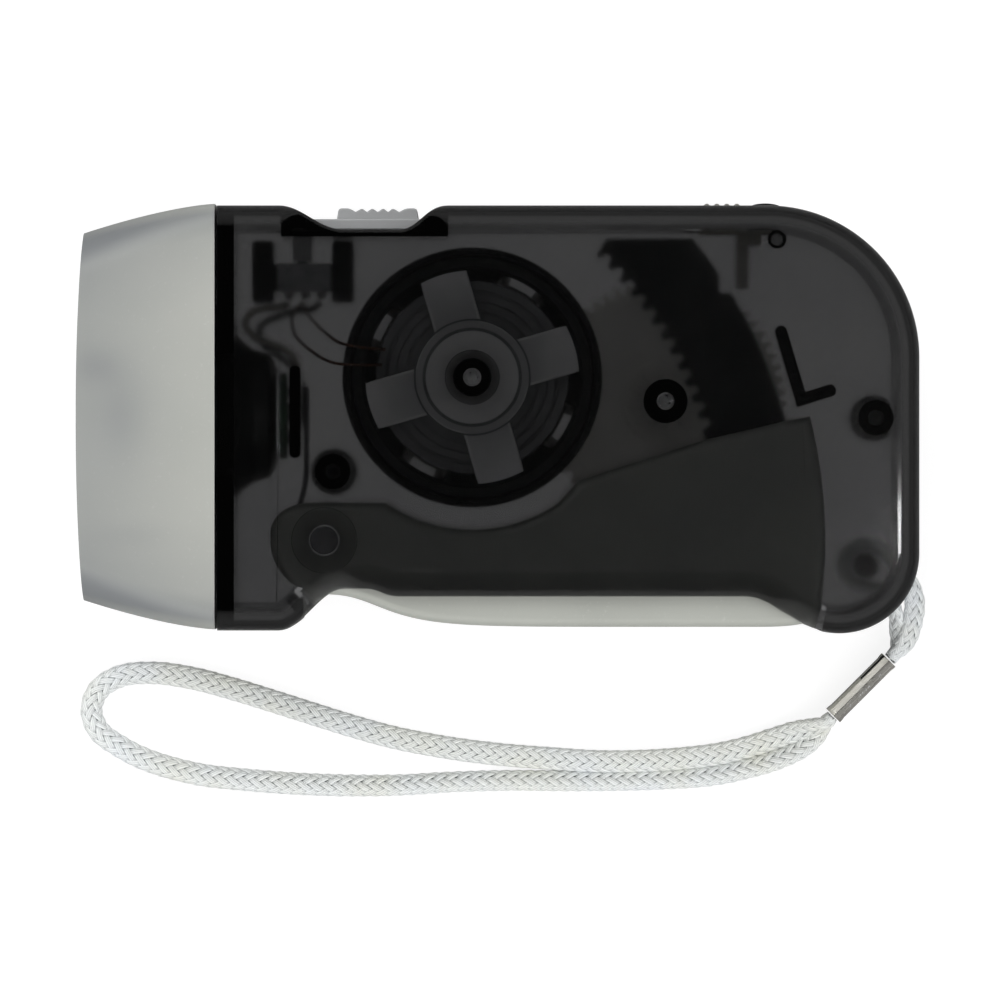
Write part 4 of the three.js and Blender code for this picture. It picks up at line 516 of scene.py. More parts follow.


# Claw plates: bright tinned steel, pressed from sheet and cloudy where the tin ran, darker and
# greyer on the arms near the hub.
def tinnedSteel():
    material = surface("tinned_steel", ("#eeeeee", "#ffffff", "#ffffff"), 5, (0.3, 0.42), 0.25,
                       0.004, 0.1, 12, 0.0, 0.3)
    tree = material.node_tree
    shader = next(n for n in tree.nodes if n.type == "BSDF_PRINCIPLED")
    place = addNode(tree, "TexCoord").outputs["Object"]
    flat = addNode(tree, "VectorMath", (place, (1.0, 1.0, 0.0)), operation="MULTIPLY").outputs[0]
    axis = (rootDarkening["axis"][0] * mm, rootDarkening["axis"][1] * mm, 0.0)
    reach = addNode(tree, "VectorMath", (flat, axis), operation="DISTANCE").outputs["Value"]
    shares = [addNode(tree, "MapRange", (reach, near * mm, far * mm, *levels)).outputs[0]
              for (near, far), levels in ((rootDarkening["fades"], (rootDarkening["most"], 0.0)),
                                          (rootDarkening["begins"], (rootDarkening["least"], 1.0)))]
    share = addNode(tree, "Math", shares, operation="MULTIPLY").outputs[0]
    base = shader.inputs["Base Color"].links[0].from_socket
    shade = addNode(tree, "Mix", {0: share, 6: base, 7: srgb(rootDarkening["tone"])}, data_type="RGBA")
    tree.links.new(shade.outputs[2], shader.inputs["Base Color"])
    return material


# grooves between a strand's yarns: millimetres deep, how much painted shade darkens them, and the
# share of the wave that they take
yarns = dict(deep=0.05, dark=0.4, wide=0.7, tone="#93989b")


# Silver-white polyester braid: each strand a few silky yarns side by side, warm and cool in turns,
# with painted shade where it dives under the others and in the grooves between its yarns, and dots
# of painted glint. The yarns' height is |cos(1.5 pi y)| of the place y across the strand.
def silverBraid():
    # the white dots of the third tone are painted glints of the silver threads
    material = surface("silver_cord", ("#f1f2ea", "#f2f6f9", "#ffffff", "#65696b"), 9, (0.4, 0.52),
                       0.08, 0.01, 0.0, 0, 0.0, 0.4, "diveShade", Sheen_Weight=0.2, Sheen_Roughness=0.4)
    tree = material.node_tree
    shader = next(n for n in tree.nodes if n.type == "BSDF_PRINCIPLED")
    across = addNode(tree, "Attribute", attribute_name="yarn").outputs["Fac"]
    turn = addNode(tree, "Math", (across, 1.5 * math.pi), operation="MULTIPLY").outputs[0]
    wave = addNode(tree, "Math", (turn,), operation="COSINE").outputs[0]
    crest = addNode(tree, "Math", (wave,), operation="ABSOLUTE").outputs[0]
    # painted shade in the grooves between the yarns
    groove = addNode(tree, "MapRange", (crest, 0.0, yarns["wide"], yarns["dark"], 0.0))
    base = shader.inputs["Base Color"].links[0].from_socket
    shade = addNode(tree, "Mix", {0: groove.outputs[0], 6: base, 7: srgb(yarns["tone"])},
                    data_type="RGBA")
    tree.links.new(shade.outputs[2], shader.inputs["Base Color"])
    under = shader.inputs["Normal"].links[0].from_socket
    bump = addNode(tree, "Bump", {"Height": crest, "Strength": 1.0, "Distance": yarns["deep"] * mm,
                                  "Normal": under})
    tree.links.new(bump.outputs["Normal"], shader.inputs["Normal"])
    return material


# Colourless clear plastic with a slight haze and a few hairline marks.
def clearPlastic():
    return surface("clear_plastic", ("#f7fafa", "#ffffff"), 15, (0.02, 0.06), 5, 0.003, 0.3, 60,
                   IOR=1.5, Transmission_Weight=1.0)


looks = dict(
    smoky=smokyPlastic(),
    clear=clearPlastic(),
    # satin silver paint on plastic: even tone, tiny flakes, with painted shade and reflection that
    # make it bluer and darker in the scoop and where the broad face rolls over
    silver=surface("silver_paint", ("#b5b7b1", "#babbb5", "#d2d3cf", "#888b8d"), 18, (0.36, 0.42),
                   0.2, 0.0015, 0.1, 80, 0.22, 0.25, "shade"),
    # bright plating inside the bowl, with a faint orange-peel
    plated=surface("plated_plastic", ("#d8dadc", "#e8e9ea"), 6, (0.05, 0.12), 1.2, 0.002,
                   metal=1.0),
    # the bowl's unplated back, near black satin plastic; also the painted shade in the sleeve's
    # slot
    bowlBackAndSlotShade=surface("bowl_back_and_slot_shade", ("#0c0c0e", "#131316", "#1d1d20"), 5, (0.35, 0.5), 0.25, 0.006,
                     0.15, 20, 0.0, 0.2),
    # green board with a matt lacquer and fine fibre grain
    board=surface("circuit_board", ("#2f5a3c", "#3c6b49"), 2, (0.35, 0.5), 0.25, 0.008),
    # tinned pads, soft and slightly lumpy
    solder=surface("solder", ("#b4b6b8", "#d0d1d2"), 1, (0.2, 0.35), 0.4, 0.02, metal=0.9),
    # water-clear lamp resin
    resin=surface("lamp_resin", ("#fbfaf2", "#ffffff"), 3, (0.02, 0.05), 1.5, 0.002, IOR=1.53,
                  Transmission_Weight=1.0),
    # mid grey moulded button, finely matt
    button=surface("grey_plastic", ("#a9aaab", "#b0b1b2", "#bcbdbe"), 6, (0.4, 0.5), 0.16, 0.006,
                   0.12, 10, 0.05, 0.25),
    # switch case: tinned sheet with press marks
    switchCase=surface("tinned_sheet", ("#9a9c9e", "#b3b4b5"), 2, (0.25, 0.4), 0.3, 0.006, 0.5, 5,
                       0.9),
    claws=tinnedSteel(),
    # the claw plates' sheared and bent edges and sides: a painted highlight, thin bright lines
    clawEdgeHighlight=surface("tinned_edge_highlight", ("#fafafa", "#ffffff"), 3, (0.15, 0.25), 0.25, 0.002,
                     metal=0.05),
    # painted glints on the crimping tool's marks
    glint=surface("glint", ("#d8d8d4", "#ffffff"), 0.8, (0.12, 0.3), 0.3, 0.03, metal=0.8),
    # black moulded plastic, a little dusty on its faces
    black=surface("black_plastic", ("#060607", "#0d0d0f", "#222325"), 6, (0.32, 0.48), 0.25, 0.008,
                  0.2, 30, 0.0, 0.2),
    # coil former: grey moulded plastic; also the painted shade in the narrow grooves of the front
    # plate
    spool=surface("spool_plastic_and_groove_shade", ("#7a7a7c", "#909092", "#a4a4a6"), 5, (0.35, 0.5), 0.25, 0.008,
                  0.1, 30, 0.0, 0.3),
    # ivory moulded catch, waxy
    ivory=surface("ivory_plastic", ("#aeaca4", "#b8b6ae"), 5, (0.5, 0.6), 0.2, 0.006, 0.1, 15,
                  IOR=1.45, Transmission_Weight=0.55),
    # white nylon gears: milky, letting the light of the floor through, slightly greasy
    nylon=surface("white_nylon", ("#ecebe6", "#f6f5f1"), 4, (0.5, 0.62), 0.3, 0.005, 0.1, 0,
                  IOR=1.45, Transmission_Weight=0.75),
    # squeeze lever: cool greenish grey plastic with a pearly flake
    lever=surface("lever_plastic", ("#adafa8", "#b2b4ad", "#c8cac4"), 14, (0.32, 0.4), 0.18,
                  0.003, 0.0, 0, 0.1, 0.3),
    # turned steel pins
    steel=surface("steel", ("#77797a", "#8c8d8e"), 1.5, (0.25, 0.4), 0.2, 0.004, 0.4, 0, 0.85),
    # browned pivot pin
    pin=surface("dark_steel", ("#2c2c2e", "#38383a"), 1.5, (0.3, 0.45), 0.2, 0.004, 0.4, 0, 0.85),
    # zinc plated screws with rolled threads
    screws=surface("zinc_steel", ("#77797b", "#8c8d8e"), 1.0, (0.3, 0.45), 0.2, 0.005, 0.4, 0, 0.9),
    # drawn spring wire, faintly oily
    springWire=surface("spring_steel", ("#4b4d4f", "#5f6163"), 1.0, (0.25, 0.38), 0.2, 0.004, 0.4,
                       0, 0.9),
    # flywheel: blackened steel with turning marks
    blackened=surface("blackened_steel", ("#141415", "#1b1b1c", "#2a2a2b"), 5, (0.35, 0.5), 0.2,
                      0.006, 0.3, 50, 0.4, 0.2),
    # sintered magnet, coarse and dull
    ferrite=surface("ferrite", ("#111112", "#1b1b1c"), 1.2, (0.55, 0.75), 0.12, 0.02),
    # enamelled winding wire, amber lacquer over copper
    enamel=surface("enamelled_copper", ("#4a2f22", "#6b4430"), 1.0, (0.22, 0.35), 0.15, 0.004,
                   metal=0.5),
    # vinyl insulation of the pale lead: ivory, satin
    lightLead=surface("light_insulation", ("#e3e0d6", "#efede6"), 2, (0.45, 0.6), 0.15, 0.006),
    # vinyl insulation of the dark lead: near black, satin
    darkLead=surface("dark_insulation", ("#0e0e10", "#18181b"), 2, (0.4, 0.55), 0.15, 0.006),
    braid=silverBraid(),
    # nickel plate, drawn lengthwise, with a few bright press marks
    nickel=surface("nickel_plate", ("#9c9a94", "#b1afa9", "#e9e8e4"), 4, (0.2, 0.3), 0.1,
                   0.002, 0.25, 45, 0.6, 0.35),
    # the folded edge on top of it, its upward faces brighter: painted light
    nickelLitFold=surface("nickel_fold_lit", ("#d6d3c9", "#e6e4dc", "#8f8d86"), 5, (0.18, 0.28), 0.1,
                       0.002, 0.35, 45, 0.4, 0.3),
)
print("materials made")


# Floor and light, in metres: the floor lies a hair under the object

stageSizes = dict(
    floor=6.0, sunk=2e-5, floorTone="#e7e7e7", mirrorShadowTone="#8c8c8c", cameraTone="#8f8f8f",
    glow=0.84, through=0.6,
    sky=((0.0, 0.42), (0.55, 0.36), (0.85, 0.3), (0.95, 0.2), (0.99, 0.02)),
)


# A pale floor that shows white and keeps a soft shadow, and soft light from all round. Seen through
# the plastic it glows dimmer and in reflections it is a darker grey: painted shadow of the object,
# which lies over it there.
def makeStage():
    half, down = stageSizes["floor"] / 2, -stageSizes["sunk"]
    mesh = bpy.data.meshes.new("floor")
    mesh.from_pydata([(-half, -half, down), (half, -half, down), (half, half, down),
                      (-half, half, down)], [], [(0, 1, 2, 3)])
    linked("floor", mesh)
    material, tree, output = newMaterial("floor_white")
    path = addNode(tree, "LightPath").outputs
    plain = addNode(tree, "BsdfDiffuse", {"Color": srgb(stageSizes["floorTone"])})
    # the floor in reflections: a darker grey, painted shadow of the object
    mirrored = addNode(tree, "BsdfDiffuse", {"Color": srgb(stageSizes["mirrorShadowTone"])})
    lit = addNode(tree, "BsdfDiffuse", {"Color": srgb(stageSizes["cameraTone"])})
    glow = addNode(tree, "Emission", {"Strength": stageSizes["glow"]})
    through = addNode(tree, "Emission", {"Strength": stageSizes["through"]})
    pale = addNode(tree, "AddShader", {0: lit.outputs[0], 1: glow.outputs[0]})
    whole = plain
    for ray, shader in (("Is Glossy Ray", mirrored), ("Is Transmission Ray", through),
                        ("Is Camera Ray", pale)):
        whole = addNode(tree, "MixShader", {0: path[ray], 1: whole.outputs[0],
                                            2: shader.outputs[0]})
    tree.links.new(whole.outputs[0], output.inputs["Surface"])
    mesh.materials.append(material)

    world = bpy.data.worlds.new("studio")
    bpy.context.scene.world = world
    world.use_nodes = True
    tree = world.node_tree
    tree.nodes.clear()
    direction = addNode(tree, "TexCoord").outputs["Generated"]
    height = addNode(tree, "SeparateXYZ", {0: direction}).outputs["Z"]
    sky = addNode(tree, "ValToRGB", {"Fac": height})
    stops = sky.color_ramp.elements
    while len(stops) < len(stageSizes["sky"]):
        stops.new(0.5)
    for stop, (place, level) in zip(stops, stageSizes["sky"]):
        stop.position = place
        stop.color = (level, level, level, 1)
    path = addNode(tree, "LightPath").outputs["Is Camera Ray"]
    strength = addNode(tree, "Mix", data_type="FLOAT")
    tree.links.new(path, strength.inputs[0])
    tree.links.new(sky.outputs["Color"], strength.inputs[2])
    strength.inputs[3].default_value = 1.0
    back = addNode(tree, "Background", {"Color": (1, 1, 1, 1), "Strength": strength.outputs[0]})
    out = addNode(tree, "OutputWorld")
    tree.links.new(back.outputs[0], out.inputs["Surface"])

    for name, place, target, size, power, mirrored in lamps:
        data = bpy.data.lights.new(name, "AREA")
        data.shape = "RECTANGLE"
        data.size, data.size_y = size
        data.energy = power
        lamp = linked(name, data)
        lamp.location = place
        away = Vector(target) - Vector(place)
        lamp.rotation_euler = away.to_track_quat("-Z", "Y").to_euler()
        lamp.visible_glossy = mirrored


# each lamp's name, place and target, size in metres, power in watts, and whether surfaces mirror
# it: the large ones only light, the strip leaves the thin streak on the tail's rounded edge
lamps = (
    ("key", (-0.6, 0.75, 1.0), (0, 0, 0), (1.3, 1.0), 11.6, False),
    ("fill", (0.95, -0.3, 1.0), (0, 0, 0), (1.0, 1.2), 7.8, False),
    ("front", (-0.3, -1.0, 0.95), (0, 0, 0), (1.4, 0.9), 7.8, False),
    ("strip", (0.245, -0.018, 1.0), (0.245, -0.018, 0), (0.31, 0.015), 0.3, True),
)
makeStage()
print("stage made")


# Lanyard: a flat tubular braid of many strands, laid over and under each other

lanyard = dict(
    width=2.75, thickness=1.5, strands=16, stitch=1.5, strandWidth=0.74, strandThickness=0.42,
    ripple=0.3, rippleAcross=0.35, ringsPerStitch=6, sides=6, pinch=0.4, pinchReach=1.6,
    # painted shade where a strand dives under the others: its level and its swing
    diveShade=0.28, diveSwing=0.75,
)
eyeRoute = [
    (49.61, -30.24, 1.1), (50.24, -29.61, 1.15), (50.6, -28.4, 1.8), (50.5, -26.7, 3),
    (50.35, -25, 4.5), (49.75, -23.4, 5.4), (48.5, -21.95, 5.5), (46.9, -21.2, 5.5),
    (44.9, -20.85, 5.5), (43.65, -19.2, 5.5), (43.95, -17.15, 5.5), (45.55, -15.95, 5.5),
    (47.6, -16.2, 5.5), (49.3, -17.5, 5.5), (51, -19.1, 5.5), (52.15, -20.9, 5.45),
    (52.6, -23.1, 5.25), (52.4, -25.4, 4.8), (51.85, -27.5, 4.1), (51.1, -28.85, 3.5),
    (50.24, -29.61, 3.4), (49.61, -30.24, 3.4),
]
wristRoute = [
    (42.19, -37.66, 3.4), (41.56, -38.29, 3.3), (40.3, -38.75, 2.6), (38.14, -39.35, 1.55),
    (35.5, -40.2, 1.1), (31.5, -41.5, 1.05), (27.3, -42.45, 1.05), (20.3, -43.15, 1.05),
    (12.8, -43.3, 1.05), (6.55, -42.9, 1.05), (0.3, -42.4, 1.05), (-5.95, -41.6, 1.05),
    (-12.9, -40.3, 1.05), (-18.4, -38.8, 1.05), (-27.8, -35.85, 1.05), (-32.8, -34.3, 1.05),
    (-38.4, -32.8, 1.05), (-43.4, -32.1, 1.05), (-47.6, -32.5, 1.05), (-50.4, -34.2, 1.05),
    (-51.35, -36.85, 1.05), (-50.4, -39.4, 1.05), (-47.9, -41.3, 1.05), (-44.6, -43, 1.05),
    (-38.4, -44.8, 1.05), (-32.15, -45.6, 1.05), (-22.4, -46.25, 1.05), (-12.9, -46.3, 1.05),
    (-5.95, -45.9, 1.05), (1.55, -45.7, 1.05), (9.05, -45.75, 1.05), (15.3, -45.7, 1.05),
    (21.55, -45.5, 1.05), (27.3, -45.05, 1.05), (31.8, -44.1, 1.05), (35.5, -43, 1.05),
    (38.6, -41.5, 1.05), (40.7, -39.6, 1.08), (41.56, -38.29, 1.1), (42.19, -37.66, 1.1),
]


# Strands wound both ways round a flat oval: a strand's middle is path + across a cos t +
# through b sin t, and it rises and dives with sin(pi length / stitch), over one and under one of
# the others. tilt gives the angle of the oval's width from the floor at shares of the length.
# Each point also gets its painted shade, by how far it dives under, and its place across the
# strand.
def braid(path, tilt):
    size = lanyard
    step = size["stitch"] / size["ringsPerStitch"]
    path = smoothPath(path, step)
    along = np.arange(len(path)) * step
    tangents = frames(path)[0]
    level = np.cross(tangents, (0, 0, 1.0))
    level /= np.maximum(np.linalg.norm(level, axis=1), 1e-6)[:, None]
    upright = np.cross(level, tangents)
    lean = np.radians(np.interp(along / along[-1], *zip(*tilt)))
    across = level * np.cos(lean)[:, None] + upright * np.sin(lean)[:, None]
    through = -level * np.sin(lean)[:, None] + upright * np.cos(lean)[:, None]
    half = size["strands"] // 2
    lay = half * size["stitch"]
    ends = [np.exp(-(d / size["pinchReach"]) ** 2) for d in (along, along[-1] - along)]
    pinch = 1 - size["pinch"] * (ends[0] + ends[1])
    diveShades, places = [], []
    turns = np.linspace(0, 2 * math.pi, size["sides"], endpoint=False)
    solids = []
    for way in (1, -1):
        for k in range(half):
            phase = 2 * math.pi * (k + (0.5 if way < 0 else 0)) / half
            angle = way * 2 * math.pi * along / lay + phase
            wave = np.sin(2 * math.pi * along / size["stitch"] / 2 + math.pi * k * way
                          + (math.pi / 2 if way < 0 else 0))
            lift = 1 + size["ripple"] * wave * way
            radiusA = (size["width"] - size["strandThickness"]) / 2 * pinch
            radiusB = (size["thickness"] - size["strandThickness"]) / 2
            widened = 1 + size["rippleAcross"] * (lift - 1)
            place = (path + across * (radiusA * np.cos(angle) * widened)[:, None]
                     + through * (radiusB * np.sin(angle) * lift)[:, None])
            outward = (across * (np.cos(angle) / radiusA)[:, None]
                       + through * (np.sin(angle) / radiusB)[:, None])
            outward /= np.linalg.norm(outward, axis=1)[:, None]
            run = np.gradient(place, axis=0)
            run /= np.linalg.norm(run, axis=1)[:, None]
            sideways = np.cross(run, outward)
            sideways /= np.linalg.norm(sideways, axis=1)[:, None]
            outward = np.cross(sideways, run)
            wide = (size["strandWidth"] / 2 * np.cos(turns))[:, None]
            thick = (size["strandThickness"] / 2 * np.sin(turns))[:, None]
            solids.append(skin(place[:, None] + sideways[:, None] * wide
                               + outward[:, None] * thick))
            # painted shade, darkest where the strand dives under the others
            diveShade = np.clip(size["diveShade"] - size["diveSwing"] * wave * way, 0, 1)
            diveShades.append(np.repeat(diveShade, size["sides"]))
            places.append(np.tile(np.cos(turns), len(place)))
    return several(*solids), path, np.concatenate(diveShades), np.concatenate(places)


# the eye stands on edge where it goes round the post and out of the two holes; the wrist loop
# lies flat, half turned up on its way back and on edge at the crimp
eyeTilt = ((0, 75), (0.1, 60), (0.3, 88), (0.66, 88), (0.8, 30), (0.92, 40), (1, 75))
wristTilt = ((0, 75), (0.03, 22), (0.1, 8), (0.42, 6), (0.5, 24), (0.56, 12), (0.66, 20),
             (0.74, 34), (0.94, 32), (0.98, 36), (1, 68))


# A loop of the braid with its two attributes; its length is the sum of the path's steps.
def makeCord(name, route, tilt):
    solid, path, diveShades, places = braid(route, tilt)
    mesh = meshOf(name, solid)
    mesh.attributes.new("diveShade", "FLOAT", "POINT").data.foreach_set("value", diveShades)
    mesh.attributes.new("yarn", "FLOAT", "POINT").data.foreach_set("value", places)
    cord = piece(name.replace("cord", "braid"), mesh, "housing", looks["braid"],
                 [name], 70)
    length = float(np.sum(np.linalg.norm(np.diff(path, axis=0), axis=1)))
    print(f"{name}: {length:.1f} mm long")
    return cord, path, length


eyeCord, eyePath, eyeLength = makeCord("eye_cord", eyeRoute, eyeTilt)
wristCord, wristPath, wristLength = makeCord("wrist_cord", wristRoute, wristTilt)
print("lanyard made")


# Housing

case = dict(
    length=105.1, height=53.7, depth=26.4, head=17.5, wall=1.7, endWall=2.1, topStep=0.4,
    edge=2.8, innerEdge=2.0, corner=18.9, tailRadius=10.0, tailWrap=-120, shoulder=6.9,
    window=4.6, cheekRise=0.35, cheek=7.75, dipRise=0.95, dipReach=7.15, dipFlat=2.2, dipEase=4.4,
    recess=(7.85, 15.9, 22.75, 28.9), recessDepth=3.05, well=(8.887, 28.15), wellDepth=0.15,
    wellWidth=13.6, wellFloor=0.7, wellWall=0.75, seam=0.1, recessEdge=0.45, windowEdge=0.9,
    windowFrom=2.0, windowTo=6.0, edgeEase=3.0, jointGap=0.15,
)
# ways into the housing: round for the bowl, with flats at the broad walls; the button's arm and
# the latch's pad, each with its two ends from the joint and its half depth; the lever
openings = dict(
    neck=12.0, neckY=0.3, neckFlat=10.2, arm=(7.1, 12.1, 2.8), pad=(58.6, 66.0, 4.9),
    leverReach=63.0, leverAngles=(-15, -4), leverHeel=2.835, leverTop=3.4, leverHub=7.05,
    leverSide=0.3,
)
guard = dict(start=66.4, length=4.3, halfDepth=4.5, edge=0.25)  # the ridge behind the latch
noseX, tailX = -case["length"] / 2, case["length"] / 2
jointX = noseX + case["head"]
topY, bottomY = case["height"] / 2 - case["topStep"], -case["height"] / 2
windowY = bottomY + case["window"]
middleZ = case["depth"] / 2
backZ, frontZ = case["wall"], case["depth"] - case["wall"]
# the lever's pivot, the generator's shaft and the wheel's pin
pivot = (-21.55084, -15.2508)
rotor = (-3.14608, 5.05055)
axle = (20.91005, 2.06665)


# The point at a radius and an angle in degrees from a centre.
def polar(radius, angle, centre=(0.0, 0.0)):
    return (centre[0] + radius * math.cos(math.radians(angle)),
            centre[1] + radius * math.sin(math.radians(angle)))


# The housing seen from the front: from the head's joint along the lower edge with its dip and the
# lever's window, round the tail, and back along the top with the button's recess.
def caseOutline():
    left = jointX - case["head"] / 2
    cheekY, cheekX = bottomY + case["cheekRise"], jointX + case["cheek"]
    dipY, dipX = windowY + case["dipRise"], pivot[0] + case["dipReach"] * 0.45
    dipEnd = pivot[0] + case["dipReach"] + case["dipFlat"] - case["dipEase"]
    tail = (tailX - case["tailRadius"], bottomY + case["tailRadius"])
    tailPoint = polar(case["tailRadius"], case["tailWrap"], tail)
    tangent = polar(case["shoulder"] * 0.43, case["tailWrap"] + 90)
    shoulderX = tailPoint[0] - case["shoulder"]
    ease = (dipX - cheekX) * 0.36
    floorY = topY - case["recessDepth"]
    x0, x1, x2, x3 = (jointX + x for x in case["recess"])
    o = Outline(left, cheekY).to(cheekX, cheekY)
    o.bend(cheekX + ease, cheekY, dipX - 1.3 * ease, dipY, dipX, dipY).to(dipEnd, dipY)
    o.bend(dipEnd + case["dipEase"] / 2, dipY, dipEnd + case["dipEase"] / 2, windowY,
           dipEnd + case["dipEase"], windowY).to(shoulderX, windowY)
    o.bend(shoulderX + case["shoulder"] * 0.4, windowY, tailPoint[0] - tangent[0],
           tailPoint[1] - tangent[1], *tailPoint)
    o.arc(*tail, case["tailRadius"], case["tailWrap"], 0, 40)
    o.arc(tailX - case["corner"], topY - case["corner"], case["corner"], 0, 90, 48).to(x3, topY)
    o.bend(x3 - (x3 - x2) * 0.45, topY, x2 + (x3 - x2) * 0.41, floorY, x2, floorY)
    o.to(x1, floorY)
    o.bend(x1 - (x1 - x0) * 0.38, floorY, x0 + (x1 - x0) * 0.34, topY, x0, topY)
    return o.to(left, topY).closed()


# Rounding radius at each point: small along the button's recess and the lever's window, and
# eased to the full one by t t (3 - 2 t) over a short way.
def caseEdge(outline):
    x, y = outline[:, 0], outline[:, 1]
    found = np.full(len(outline), float(case["edge"]))
    spans = ((jointX + case["recess"][0], jointX + case["recess"][3], y > 0, case["recessEdge"]),
             (pivot[0] + case["windowFrom"], tailX - case["tailRadius"] - case["windowTo"], y < 0,
              case["windowEdge"]))
    for low, high, side, least in spans:
        share = np.clip(np.minimum(x - low, high - x) / case["edgeEase"], 0, 1) * side
        share = share * share * (3 - 2 * share)
        found = found * (1 - share) + np.minimum(found, least) * share
    return found


# The window through which the lever swings: its far end follows an arc about the pivot.
def leverSweep():
    reach, (lowest, highest) = openings["leverReach"], openings["leverAngles"]
    left, top = pivot[0] - openings["leverHeel"], pivot[1] - openings["leverTop"]
    low = polar(reach, lowest, pivot)
    o = Outline(left, top).to(left, bottomY - 2).to(low[0], bottomY - 2)
    o.arc(*pivot, reach, lowest, highest, 24)
    return o.to(pivot[0] + reach / 2, top).closed()


# The ridge behind the latch: blunt towards it, sloping down towards the tail.
def guardOutline():
    start, length = jointX + guard["start"], guard["length"]
    low, high = topY - case["wall"] / 2, topY + case["topStep"]
    o = Outline(start, low).to(start + length * 1.15, low)
    o.curve(start + length, high, start + length / 2, high)
    o.curve(start + length * 0.1, high, start, topY - case["topStep"] / 2)
    return o.closed()


# The way for the bowl: a cylinder along X, kept between two planes at the broad walls.
def neckHole(radius):
    whole = moved(turned(disc(radius, 0, case["head"], steps=96), "Y", 90),
                  jointX - case["head"] / 2, openings["neckY"], middleZ)
    low = middleZ - openings["neckFlat"]
    slab = box(noseX, jointX + case["head"], bottomY, topY, low, low + 2 * openings["neckFlat"])
    return combined(whole, [("keep", slab)])


# Walls, recess and openings of the housing, both halves in one: the outline drawn up with round
# edges, less the same one moved in by the wall.
def caseShell():
    outline = caseOutline()
    outer = prism(outline, 0, case["depth"], caseEdge(outline), 12)
    inner = prism(inset(outline, case["wall"]), backZ, frontZ, case["innerEdge"], 6)
    far = 2.0
    wellX = [jointX + x for x in case["well"]]
    wellY = topY - case["recessDepth"] - case["wellDepth"]
    wellZ = (middleZ - case["wellWidth"] / 2, middleZ + case["wellWidth"] / 2)
    floorY = wellY - case["wellFloor"]
    under = box(wellX[0], wellX[1], floorY - case["recessDepth"], floorY, backZ, frontZ)
    start = jointX + case["jointGap"]
    ahead = box(noseX - far, start + case["endWall"], bottomY - far, topY + far, -far,
                case["depth"] + far)
    cavity = combined(inner, [("cut", ahead), ("add", under)])
    rim = combined(box(wellX[0] - case["wellWall"], wellX[1] + case["wellWall"], floorY,
                       topY - case["wall"] / 2, case["wall"] / 2, case["depth"] - case["wall"] / 2),
                   [("keep", outer)])
    ridge = prism(guardOutline(), middleZ - guard["halfDepth"], middleZ + guard["halfDepth"],
                  guard["edge"], 3)
    (armLow, armHigh, armDeep), (padLow, padHigh, padDeep) = openings["arm"], openings["pad"]
    low, high = backZ + openings["leverSide"], frontZ - openings["leverSide"]
    return combined(outer, [
        ("cut", cavity), ("add", rim, ridge),
        ("cut", neckHole(openings["neck"]),
         box(noseX - far, start, bottomY - far, topY + far, -far, case["depth"] + far),
         box(wellX[0], wellX[1], wellY, topY + far, *wellZ),
         box(jointX + armLow, jointX + armHigh, wellY - far, wellY + far, middleZ - armDeep,
             middleZ + armDeep),
         box(jointX + padLow, jointX + padHigh, topY - case["wall"] - far, topY + far,
             middleZ - padDeep, middleZ + padDeep),
         prism(leverSweep(), low, high), disc(openings["leverHub"], low, high, *pivot)),
    ])


# radii of the bosses, heights where front ones begin and back ones end, places of posts and ribs
bosses = dict(
    pivotPad=4.1, rotorPad=3.4, axlePad=2.75, spigot=2.2, screwPost=2.2, screwWell=2.9,
    draft=0.94, locatorPad=1.15, pivotFrom=24.4, rotorFrom=23.7, spigotFrom=15.65, axleFrom=13.2,
    locatorFrom=19.3, pivotTo=2.0, rotorTo=4.6, axleTo=4.3, cordPost=1.6,
    screws=((jointX + 14.55, topY - 33.15), (jointX + 82.15, topY - 26.45)),
    locator=(jointX + 69.85, topY - 4.25), post=(tailX - 6.3, bottomY + 8.35),
    stopRib=((70.35, 15.75), (72.85, 24.2), (76.45, 23.05)), ribWidth=1.5, ribBack=20.0,
    springRib=(9.15, 1.4, 19.95, 31.45), springRibBack=10.0,
    switchPosts=(4.3, 14.3), switchPost=(2.8, 7.8, 15.0), shelf=(5.7, 15.5, 10.6, 7.1, 3.8),
    cordHole=1.8, cordHoleHigh=5.5,
)
# blind holes in either half: place, radius, heights of the cut's two ends, sides
frontHoles = (
    (pivot, 1.95, 23, 25.8, 64), (rotor, 1.15, 13, 25.6, 48), (axle, 1.1, 12, 25.6, 48),
    (bosses["locator"], 0.75, 18, 23.6, 40), (bosses["screws"][0], 0.99, 10, 24.2, 40),
    (bosses["screws"][1], 0.99, 10, 24.2, 40),
)
backHoles = ((pivot, 1.95, 0.6, 3, 64), (rotor, 1.15, 0.8, 10, 48), (axle, 1.1, 0.8, 5.2, 48))
screwHoles = ((2.1, -2, -2.2, 48), (0.99, -2, 2, 40))  # radius, start, end from the seam, sides


# Marks the faces that look into the housing: 1 mm before them lies inside its outline, which a
# line drawn from there to the left crosses an odd number of times.
def markInside(thing):
    mesh = thing.data
    ahead = valuesOf(mesh.polygons, "center") / mm + valuesOf(mesh.polygons, "normal")
    outline = caseOutline()
    within = np.zeros(len(ahead), bool)
    for (x0, y0), (x1, y1) in zip(outline, np.roll(outline, -1, 0)):
        if y0 != y1:
            level = (ahead[:, 1] < y0) != (ahead[:, 1] < y1)
            cross = x0 + (ahead[:, 1] - y0) * (x1 - x0) / (y1 - y0)
            within ^= level & (ahead[:, 0] < cross)
    within &= (ahead[:, 2] > 0) & (ahead[:, 2] < case["depth"])
    mesh.attributes.new("inside", "FLOAT", "FACE").data.foreach_set("value", within.astype(float))
    return thing


